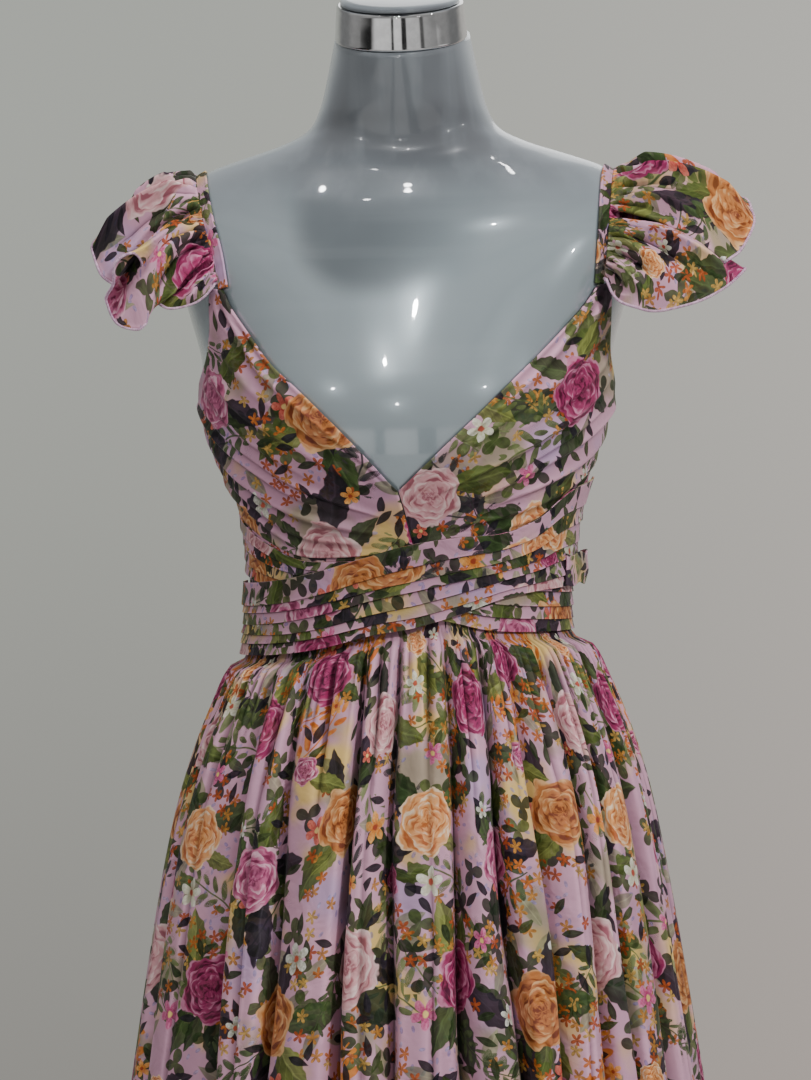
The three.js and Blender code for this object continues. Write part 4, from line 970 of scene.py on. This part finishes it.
# Flutter sleeves
# One gathered ruffle each. Ribs run from the strap over a puff to the free edge, which carries a narrow
# overlocked roll in lilac thread. A row gives the rib's station on the strap, its end and its puff's height.
RIB_COLUMNS = ("station", "x", "y", "z", "puff", "curl")
RIBS = {
    "right": ((4, -134, -74, 1341, 1, 0), (8, -146, -80, 1329, 3, 0), (13, -165, -84, 1323, 5, 2),
              (18, -176, -78, 1328, 1, 0), (23, -180, -90, 1317, 6, 0), (28, -185, -92, 1310, 14, 0),
              (32, -196, -92, 1311, 19, 0), (36, -204, -88, 1316, 17, 0), (40, -212, -78, 1330, 12, 0),
              (42, -205, -90, 1341, 11, 3), (43.5, -200, -99, 1352, 7, 5), (45, -188, -98, 1361, 3, 5),
              (46.5, -185, -84, 1356, 1, 0), (48.5, -204, -58, 1343, 1, 0), (52, -218, -60, 1349, 9, 0),
              (60, -227, -46, 1365, 13, 0), (66, -227, -36, 1376, 16, 0), (72, -217, -22, 1388, 9, 0),
              (80, -208, -8, 1391, 13, 0), (88, -199, 0, 1395, 9, 0), (100, -182, 16, 1399, 8, 0),
              (112, -172, 34, 1396, 6, 0), (123, -177, 52, 1388, 4, 0), (134, -198, 64, 1378, 12, 0),
              (146, -198, 84, 1350, 12, 0), (158, -180, 94, 1330, 9, 0), (166, -158, 96, 1326, 5, 0),
              (173, -137, 84, 1346, 1, 0)),
    "left": ((4, 150, -66, 1340, 1, 0), (8, 158, -73, 1327, 3, 0), (12, 170, -80, 1321, 5, 0),
             (17, 184, -82, 1318, 8, 0), (22, 201, -82, 1320, 10, 0), (28, 220, -77, 1326, 12, 0),
             (34, 238, -70, 1336, 12, 0), (39, 250, -61, 1346, 10, 2), (42, 246, -48, 1349, 5, 0),
             (45, 238, -44, 1352, 1, 0), (47, 235, -70, 1352, 5, 0), (50, 244, -64, 1358, 10, 0),
             (55, 251, -54, 1367, 13, 0), (61, 257, -40, 1381, 16, 0), (69, 257, -25, 1392, 17, 0),
             (76, 252, -11, 1399, 10, 0), (84, 243, 5, 1403, 13, 0), (92, 226, 13, 1405, 8, 0),
             (100, 214, 22, 1407, 10, 0), (111, 200, 34, 1404, 7, 0), (122, 206, 50, 1396, 4, 0),
             (133, 228, 60, 1386, 12, 0), (145, 226, 82, 1358, 12, 0), (157, 202, 94, 1336, 9, 0),
             (166, 175, 96, 1327, 5, 0), (173, 140, 84, 1346, 1, 0)),
}
# Long creases: station on the strap, width, height (below zero a trough), and the part of the rib that they
# run over
CREASES = {
    "right": (
        (10, 2.2, 3.0, 0.1, 1.0), (16, 1.8, -4.0, 0.0, 0.8), (22, 2.0, 3.5, 0.1, 0.9),
        (27, 1.8, -5.0, 0.0, 0.8), (38, 2.0, 3.5, 0.1, 0.8), (49, 1.8, -7.5, 0.0, 0.7),
        (56, 2.2, -3.5, 0.2, 0.9), (62, 2.4, 4.5, 0.1, 1.0), (68, 2.2, -3.0, 0.1, 0.7),
        (75, 2.4, 3.0, 0.2, 0.9), (84, 2.6, -6.5, 0.0, 0.9), (95, 3.5, 3.0, 0.1, 1.0),
        (108, 3.0, -4.0, 0.0, 0.8), (124, 3.0, -4.5, 0.0, 0.9), (140, 3.5, 3.5, 0.1, 1.0),
        (152, 3.0, -4.0, 0.0, 0.8)),
    "left": (
        (10, 2.2, -3.0, 0.0, 0.8), (16, 2.2, 3.0, 0.1, 0.9), (21, 1.8, -4.5, 0.0, 0.6),
        (31, 2.0, -3.5, 0.1, 0.8), (36, 2.0, 3.0, 0.2, 1.0), (43.5, 1.6, -7.5, 0.0, 0.8),
        (53, 2.0, 3.0, 0.1, 0.7), (59, 2.0, -3.5, 0.0, 0.6), (66, 2.4, 4.5, 0.1, 1.0),
        (73, 2.4, -7.0, 0.0, 0.95), (81, 2.6, 3.5, 0.1, 1.0), (90, 2.6, -4.5, 0.0, 0.8),
        (104, 3.0, 3.0, 0.1, 1.0), (116, 3.0, -5.0, 0.0, 0.9), (130, 3.5, 3.0, 0.1, 1.0),
        (148, 3.0, -4.0, 0.0, 0.8)),
}
CREASE_GAIN = 2.2
SLEEVE_COLUMNS, SLEEVE_ROWS = 500, 52
SLEEVE_GATHERS = 36


def clear_of_form(points, gap):
    """Moves points that lie in the form, or too near it, straight out of it."""
    points = points.copy()
    for _ in range(4):
        value = outside(points)
        slope = np.stack([outside(points + d) - outside(points - d) for d in 0.5 * np.eye(3)], -1)
        steep = np.linalg.norm(slope, axis=-1)
        short = np.clip(gap - value / np.maximum(steep, 1e-4), 0, 8)
        short = np.where(np.abs(value) < 0.6, short, 0)
        points += slope / np.maximum(steep, 1e-4)[..., None] * short[..., None]
    return points


def make_sleeve(side, seed, shift):
    rows = [(k, *row) for k, row in enumerate(RIBS[side])]
    ribs = table(("index", *RIB_COLUMNS), rows)
    # columns are spread evenly along the strap and the free edge together
    ends = np.stack([ribs["x"], ribs["y"], ribs["z"]], -1)
    pace = 2.2 * np.diff(ribs["station"]) + 0.8 * np.linalg.norm(np.diff(ends, axis=0), axis=-1)
    run = np.concatenate([[0], np.cumsum(pace)])
    index = np.interp(np.linspace(0, run[-1], SLEEVE_COLUMNS), run, np.arange(len(rows)))
    rib = {key: smooth(ribs, "index", key, index) for key in RIB_COLUMNS}
    point, out, arm = strap_frame(STRAP[side], rib["station"])
    start = point + arm * (STRAP_WIDTH / 2 - 0.6) + out * (CLOTH + 0.6)
    end = np.stack([rib["x"], rib["y"], rib["z"]], -1)
    v = np.linspace(0, 1, SLEEVE_ROWS)[:, None] ** 1.15
    arch = 4 * v * (1 - v) * (1.25 - 0.5 * v)
    up = out + (0, 0, 1)
    up /= np.linalg.norm(up, axis=-1, keepdims=True)
    phase = rib["station"] / 180 * SLEEVE_GATHERS * np.pi + 0.7 * np.sin(rib["station"] * 0.23 + seed)
    gather = 1.6 * np.abs(np.sin(phase)) ** 0.7 - 0.6
    strength = 0.75 + 0.35 * np.sin(rib["station"] * 0.41 + seed)
    long_gather = np.cos(phase * 0.66 + seed)
    base = start[None] + (end - start)[None] * v[..., None] + up[None] * (rib["puff"] * arch)[..., None]
    base[..., 1] -= rib["curl"] * (np.clip(v - 0.7, 0, 1) / 0.3) ** 2
    base[..., 2] += 0.8 * rib["curl"] * (np.clip(v - 0.7, 0, 1) / 0.3) ** 2
    face = normals(base)
    away = np.stack([np.sign(base[..., 0]), base[..., 1] / 60, 2 + 0 * base[..., 0]], -1)
    face *= 1.0 if np.sum(face * away) > 0 else -1.0
    rise = 3.8 * gather * strength * np.minimum(1, 16 * v) * np.exp(-((v / 0.32) ** 2))
    for place, width, height, near, far in CREASES[side]:
        fade = np.clip((v - near) / 0.12, 0, 1) * np.clip((far - v) / 0.25, 0, 1)
        rise = rise + CREASE_GAIN * height * np.exp(-np.abs((rib["station"] - place) / width) ** 1.1) * fade
    rise = rise + 1.5 * long_gather * np.sin(np.pi * np.minimum(v * 1.1, 1)) ** 1.5 * (1 - 0.5 * v)
    rise = rise + 1.1 * np.sin(index * 2.9 + seed) * v**3
    outer = clear_of_form(base + face * rise[..., None], 2.2)
    # the cloth lies flat at the free edge and is gathered towards the strap
    span = np.linalg.norm(np.diff(outer[int(0.6 * SLEEVE_ROWS):], axis=1), axis=-1).mean(0)
    u = np.concatenate([[0], np.cumsum(span)])
    length = np.concatenate([np.zeros((1, SLEEVE_COLUMNS)),
                             np.cumsum(np.linalg.norm(np.diff(outer, axis=0), axis=-1), axis=0)])
    cut = np.stack([u[None] + shift[0] + 0 * length, length + shift[1]], -1)
    piece = shell("sleeve_ruffle_" + side, outer, cut, thick=0.9, away=away)
    free = np.concatenate([outer[1:, 0], outer[-1, 1:-1], outer[1:, -1][::-1]])
    edge = rolled_edge("sleeve_edge_" + side, free)
    dressed(piece, "sleeve_" + side)
    return piece


thread, tree, shader = material("overlock_thread")
speck = noise(node(tree, "ShaderNodeTexCoord").outputs["Object"], 420.0, 2.0)
fill(shader, {
    "Base Color": mix(step(speck, 0.35, 0.65), (0.46, 0.26, 0.40, 1), (0.68, 0.46, 0.60, 1)),
    "Roughness": remap(speck, 0.45, 0.7), "Sheen Weight": 0.3})
# in millimetres: the distance between stitches, and the radius of the core, of a loop and of the thread
EDGE_SIZES = {"Stitch": 1.5, "Core": 0.92, "Loop": 0.98, "Thread": 0.27}
THREAD_SLANT = 0.35


def overlock():
    """A rolled edge along a line: a soft core with a slanting loop of thread at each stitch."""
    tree = bpy.data.node_groups.new("overlocked_edge", "GeometryNodeTree")
    tree.interface.new_socket("Line", in_out="INPUT", socket_type="NodeSocketGeometry")
    inputs = {}
    for label in EDGE_SIZES:
        socket = tree.interface.new_socket(label, in_out="INPUT", socket_type="NodeSocketFloat")
        inputs[label] = socket.identifier
    tree.interface.new_socket("Edge", in_out="OUTPUT", socket_type="NodeSocketGeometry")
    given = tree.nodes.new("NodeGroupInput").outputs

    def made(kind, values, **settings):
        return node(tree, "GeometryNode" + kind, values, **settings).outputs[0]

    def circle(corners, radius):
        return made("CurvePrimitiveCircle", {"Resolution": corners, "Radius": radius})

    line = made("MeshToCurve", {"Mesh": given["Line"]})
    path = made("ResampleCurve", {"Curve": line, "Length": mul(given["Stitch"], 0.5)}, mode="LENGTH")
    core = made("CurveToMesh", {"Curve": path, "Profile Curve": circle(6, given["Core"]), "Fill Caps": True})
    strand = circle(3, given["Thread"])
    loop = made("CurveToMesh", {"Curve": circle(8, given["Loop"]), "Profile Curve": strand})
    spaced = made("ResampleCurve", {"Curve": line, "Length": given["Stitch"]}, mode="LENGTH")
    stitches = node(tree, "GeometryNodeCurveToPoints", {"Curve": spaced}, mode="EVALUATED").outputs
    aim = node(tree, "FunctionNodeRotateRotation", {
        "Rotation": stitches["Rotation"], "Rotate By": (THREAD_SLANT, 0.0, 0.0)}, rotation_space="LOCAL")
    loops = made("InstanceOnPoints", {
        "Points": stitches["Points"], "Instance": loop, "Rotation": aim.outputs[0]})
    both = tree.nodes.new("GeometryNodeJoinGeometry")
    for part in (core, made("RealizeInstances", {0: loops})):
        tree.links.new(part, both.inputs[0])
    done = made("SetMaterial", {"Geometry": both.outputs[0], "Material": thread})
    fill(tree.nodes.new("NodeGroupOutput"), {0: done})
    return tree, inputs


OVERLOCK, OVERLOCK_INPUTS = overlock()


def rolled_edge(name, line):
    """The overlocked roll along a sleeve's free edge."""
    length = np.concatenate([[0], np.cumsum(np.linalg.norm(np.diff(line, axis=0), axis=-1))])
    at = np.linspace(0, length[-1], int(2 * length[-1]))
    path = np.stack([np.interp(at, length, line[:, k]) for k in range(3)], -1)
    for _ in range(6):
        path[1:-1] = (path[:-2] + 2 * path[1:-1] + path[2:]) / 4
    data = bpy.data.meshes.new(name + "_line")
    data.from_pydata((path * MM).tolist(), [(k, k + 1) for k in range(len(path) - 1)], [])
    piece = bpy.data.objects.new(name, data)
    bpy.context.scene.collection.objects.link(piece)
    stitched = piece.modifiers.new("overlock", "NODES")
    stitched.node_group = OVERLOCK
    for label, size in EDGE_SIZES.items():
        stitched[OVERLOCK_INPUTS[label]] = size * MM
    made = bpy.data.meshes.new_from_object(piece.evaluated_get(bpy.context.evaluated_depsgraph_get()))
    piece.modifiers.clear()
    piece.data = made
    made.name = name
    facing_out(piece)
    made.polygons.foreach_set("use_smooth", [True] * len(made.polygons))
    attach(piece, "root")
    return piece


sleeve_right = make_sleeve("right", 0.4, (15, 40))
sleeve_left = make_sleeve("left", 2.1, (280, 260))

# Skirt
# A front and a back panel gathered into the waist seam. Ridges run down from the seam and spread to the hem.
# Reach beyond the form's waist and the height of the folds are given at several drops below the seam.
SKIRT_COLUMNS = ("drop", "side", "front", "back", "fold")
SKIRT = table(SKIRT_COLUMNS, (
    (0, 2.5, 2.5, 2.5, 0.0), (8, 2.6, 2.6, 2.6, 0.3), (18, 14.5, 11, 11, 3.0), (36, 23, 18, 18, 4.8),
    (75, 39, 35, 36, 6.5), (125, 53, 51, 54, 8.0), (200, 67, 70, 77, 9.2), (330, 87, 97, 104, 10.5),
    (620, 130, 142, 153, 12), (1040, 187, 194, 208, 14)))
# half width, front, back and squareness of the oval at the waist
WAIST_OVAL = (117.0, 86.0, 80.0, 2.1)
HEM_Z = 35.0
SKIRT_LENGTH = 1040
# each ridge: angle, reach, and how pinched it is
FRONT_RIDGES = (
    (-84, 0.8, 0.3), (-70, 1.0, 0.1), (-55, 0.9, 0.4), (-35, 0.9, 0.1), (-19, 1.0, 0.3), (-5, 0.9, 0.2),
    (8, 0.9, 0.1), (18, 1.3, 1.0), (28, 0.9, 0.3), (38, 1.2, 0.9), (49, 1.0, 0.2), (61, 0.9, 0.5),
    (74, 1.0, 0.1), (86, 0.8, 0.3),
)
BACK_RIDGES = (
    (97, 0.9, 0.2), (109, 1.0, 0.7), (121, 0.8, 0.1), (134, 1.1, 0.3), (146, 0.8, 0.9), (157, 1.0, 0.1),
    (169, 0.9, 0.5), (182, 0.8, 0.2), (193, 1.1, 0.8), (205, 0.9, 0.1), (218, 1.0, 0.4), (230, 0.8, 0.8),
    (242, 1.0, 0.1), (254, 0.9, 0.6), (265, 0.8, 0.2),
)
FOLD_CREST = 1.25
SKIRT_COLS, SKIRT_ROWS = 500, 94
# the print keeps the spacing that it has at this drop, and flares from this drop on over this length
PRINT_DROP, FLARE_DROP, FLARE_LENGTH = 280, 300, 700


def make_skirt(name, node_name, start, end, shift):
    ridges = [(a - 360, *r) for a, *r in BACK_RIDGES] + list(FRONT_RIDGES)
    ridges += list(BACK_RIDGES) + [(a + 360, *r) for a, *r in FRONT_RIDGES]
    ridge_angle, reach, pinch = np.array(ridges, float).T

    def folds(moved):
        """Which ridge comes before, how far on to the next, and how deep in the valley between them."""
        i = np.clip(np.searchsorted(ridge_angle, moved, side="right") - 1, 0, len(ridge_angle) - 2)
        t = (moved - ridge_angle[i]) / (ridge_angle[i + 1] - ridge_angle[i])
        bottom = 0.5 + 0.16 * np.sin(2.7 * i)
        flank = np.where(t < bottom, 0.060 + 0.10 * pinch[i] + 0.025 * np.sin(1.3 * i),
                         0.060 + 0.10 * pinch[i + 1] - 0.025 * np.sin(1.3 * i))
        return i, t, bottom, np.exp(-np.abs((t - bottom) / flank) ** 1.6)

    # the mesh's columns follow the folds and crowd together in the valleys
    even = np.linspace(start, end, 6000)
    crowd = np.cumsum(1 + 2.6 * folds(even)[3] ** 0.4)
    moved = np.interp(np.linspace(crowd[0], crowd[-1], SKIRT_COLS), crowd, even)
    drop = SKIRT_LENGTH * np.linspace(0, 1, SKIRT_ROWS)[:, None] ** 1.3
    angle = np.broadcast_to(moved, (SKIRT_ROWS, SKIRT_COLS))
    for _ in range(5):
        fade = np.clip(np.minimum(angle - start, end - angle) / 4, 0, 1)
        sway = 1.5 * np.sin(drop * 0.006 + angle * 0.09) + 0.7 * np.sin(drop * 0.017 + angle * 0.21)
        angle = moved[None] - sway * fade * np.clip(drop / 150, 0, 1)
    seam = waist_seam(angle) - 0.5
    z = seam - (drop / SKIRT_LENGTH) * (seam - HEM_Z)
    level = {key: smooth(SKIRT, "drop", key, drop) for key in SKIRT_COLUMNS}
    i, t, bottom, valley = folds(moved)
    height = reach[i] + (reach[i + 1] - reach[i]) * t
    gap = ridge_angle[i + 1] - ridge_angle[i]
    depth = 1.5 * np.clip(gap / 12, 0.6, 1.1)
    # the planes between the valleys face a little to one side or the other
    own = np.where(t < bottom, i, i + 1)
    facing = np.where(t < bottom, t, t - 1) * 0.8 * np.sin(2.1 * own) * (1 - valley)
    crest = 0.8 - depth * valley + 0.16 * np.cos(2 * np.pi * t) + facing
    # halfway up a ridge a second, shorter fold starts at the waist and dies out
    part = np.exp(-np.abs((t - np.round(t)) / 0.08) ** 1.5)
    crest = crest - 1.8 * part * (1 - pinch[i]) * np.exp(-(((drop - 36) / 60) ** 2))
    lasting = np.clip(np.sin(1.9 * i + 0.004 * drop) - 0.55, 0, 1)
    crest = crest - 0.9 * part * lasting * np.clip(drop / 200, 0, 1)
    fine = 1.7 * np.abs(np.sin(angle * 1.02 + 0.9 * np.sin(angle * 0.23))) ** 0.7 - 0.7
    small = fine * np.exp(-(((drop - 18) / 38) ** 2)) * np.clip((drop - 7) / 8, 0, 1)
    rise = level["fold"] * FOLD_CREST * height * crest + 2.1 * small
    half, front, rear, power = WAIST_OVAL
    spread_out = CLOTH + rise
    x, y = oval(half + level["side"] + spread_out, front + level["front"] + spread_out,
                rear + level["back"] + spread_out, power, angle)
    ring = np.stack([x, y, z], -1)
    body = on_body(angle, z, LIFT + CLOTH + 0.2)
    blend = np.clip((drop[..., None] - 8) / 8, 0, 1)
    outer = body * (1 - blend) + ring * blend
    steps = np.linalg.norm(np.diff(outer, axis=1), axis=-1)
    arc = np.concatenate([np.zeros((SKIRT_ROWS, 1)), np.cumsum(steps, axis=1)], axis=1)
    # upright threads stay upright in the upper half, and the panel flares below
    arc = arc - arc[:, SKIRT_COLS // 2, None]
    level_arc = arc[np.argmin(np.abs(drop - PRINT_DROP))]
    arc = level_arc + (arc - level_arc) * 0.8 * np.clip((drop - FLARE_DROP) / FLARE_LENGTH, 0, 1)
    down = np.concatenate([[0], np.cumsum(np.linalg.norm(np.diff(outer, axis=0), axis=-1).mean(1))])
    cut = np.stack([arc + shift[0], np.broadcast_to(-down[:, None] + shift[1], arc.shape)], -1)
    piece = shell(name, outer, cut, thick=0.9)
    dressed(piece, node_name)
    return piece


skirt_front = make_skirt("skirt_front_panel", "skirt_front", -89.85, 89.85, (0, 0))
skirt_back = make_skirt("skirt_back_panel", "skirt_back", 90.15, 269.85, (150, 60))

# Floor, backdrop colour and lights
# A plain pale floor, a pale grey surround and soft light from above, with small round ceiling lamps that show
# as bright spots on the form.
FLOOR_REACH = 2000
corners = [(x * FLOOR_REACH, y * FLOOR_REACH, 0) for x, y in ((-1, -1), (1, -1), (1, 1), (-1, 1))]
floor = new_mesh("floor", corners, [(0, 1, 2, 3)])
paving, tree, shader = material("pale_floor")
mottle = noise(node(tree, "ShaderNodeTexCoord").outputs["Object"], 3.0, 3.0)
fill(shader, {"Base Color": mix(mottle, (0.52, 0.51, 0.50, 1), (0.60, 0.59, 0.57, 1)), "Roughness": 0.6})
floor.data.materials.append(paving)

world = bpy.data.worlds.new("surround")
bpy.context.scene.world = world
world.use_nodes = True
tree = world.node_tree
aside, back, up = split(node(tree, "ShaderNodeTexCoord").outputs["Generated"])
upward = step(up, -0.34, 0.12)
wall_low = mix(step(aside, -0.2, 0.2), (0.285, 0.272, 0.252, 1), (0.520, 0.440, 0.400, 1))
wall_high = mix(step(aside, -0.2, 0.2), (0.448, 0.464, 0.424, 1), (0.610, 0.590, 0.550, 1))
# the side walls are in shade
wall = mix(step(back, 0.50, 0.85), (0.20, 0.202, 0.20, 1), mix(upward, wall_low, wall_high))

# the room in front, seen only mirrored in the metal and the plastic: how bright it is at each height and, low
# down, bright openings between dark uprights. A row gives the direction's part and the brightness there.
HEIGHTS = (
    (-1.0, 0.12), (-0.3, 0.16), (-0.1, 0.30), (0.1, 0.30), (0.25, 0.34), (0.40, 0.42), (0.42, 0.28),
    (0.45, 0.44), (0.60, 0.46), (0.63, 0.32), (0.66, 0.48), (0.80, 0.48), (0.83, 0.34), (0.86, 0.48),
    (1.0, 0.46),
)
UPRIGHTS = (
    (-1.0, 0.30), (-0.95, 0.25), (-0.935, 0.02), (-0.76, 0.02), (-0.72, 0.35), (-0.66, 0.85), (-0.23, 0.80),
    (-0.20, 0.03), (-0.15, 0.03), (-0.13, 0.95), (0.08, 0.90), (0.10, 0.03), (0.23, 0.03), (0.25, 0.66),
    (0.60, 0.62), (0.63, 0.10), (0.69, 0.10), (0.72, 0.42), (0.93, 0.36), (0.95, 1.0), (1.0, 1.0),
)


def brightness(part, rows):
    stops = [(place / 2 + 0.5, (level, level * 0.99, level * 0.97)) for place, level in rows]
    return colour_ramp(mul_add(part, 0.5, 0.5), stops, "LINEAR")


low_down = mul(step(up, -0.12, -0.24), step(up, -0.64, -0.56))
room = mix(low_down, brightness(up, HEIGHTS), brightness(aside, UPRIGHTS))
sky = mix(step(back, -0.02, 0.28), room, wall)
sky = mix(mul(step(up, 0.45, 0.90), step(back, -0.30, 0.10)), sky, (0.38, 0.40, 0.42, 1))
# a dark opening in the ceiling, from ahead to behind and a little to the left
opening = mul(step(absolute(add(aside, 0.09)), 0.36, 0.20), step(up, 0.50, 0.64))
sky = mix(opening, sky, (0.03, 0.03, 0.035, 1))
fill(next(n for n in tree.nodes if n.type == "BACKGROUND"), {0: sky, 1: 1.0})


def lamp(name, place, target, power, size):
    light = bpy.data.lights.new(name, "AREA")
    light.energy, light.shape, light.size = power, "DISK", size
    made = bpy.data.objects.new(name, light)
    bpy.context.scene.collection.objects.link(made)
    made.location = place
    made.rotation_euler = (Vector(target) - Vector(place)).to_track_quat("-Z", "Y").to_euler()
    return made


SPOT_WIDTH, SPOT_DISTANCE = 0.040, 2.0
# where a ceiling lamp is mirrored on the form (angle, height in mm) and how bright it is
SPOTS = (
    (-18.5, 1410, 0.5), (2.5, 1412, 0.4), (-7, 1424, 0.2), (21.5, 1382, 1.3), (45.5, 1364, 0.8),
    (4.5, 1324, 2.0), (-2, 1280, 1.4), (24, 1265, 0.7), (1, 1254, 0.5), (-15.5, 1265, 0.7), (32, 1432, 0.3),
)
# the large soft lamps, which aren't mirrored: name, place, target, power and size
SOFT_LAMPS = (
    ("key", (1.9, -1.5, 2.6), (0, 0, 1.15), 54, 0.35), ("front", (-1.2, -2.0, 2.7), (0, 0, 1.15), 13, 0.3),
    ("top", (-0.2, -0.3, 3.2), (0, 0, 1.2), 15, 0.6),
)
for row in SOFT_LAMPS:
    lamp(*row).visible_glossy = False
lamp("rear", (0.3, 1.9, 2.7), (0, 0, 1.2), 9, 1.5)
for k, (angle, z, power) in enumerate(SPOTS):
    here = on_body(angle, z) * MM
    around = [on_body(angle + 1, z) - on_body(angle - 1, z), on_body(angle, z + 2) - on_body(angle, z - 2)]
    normal = Vector(np.cross(*around)).normalized()
    seen = (Vector(here) - eye).normalized()
    mirrored = seen - 2 * seen.dot(normal) * normal
    lamp(f"spot_{k}", Vector(here) + mirrored * SPOT_DISTANCE, here, power, SPOT_WIDTH)
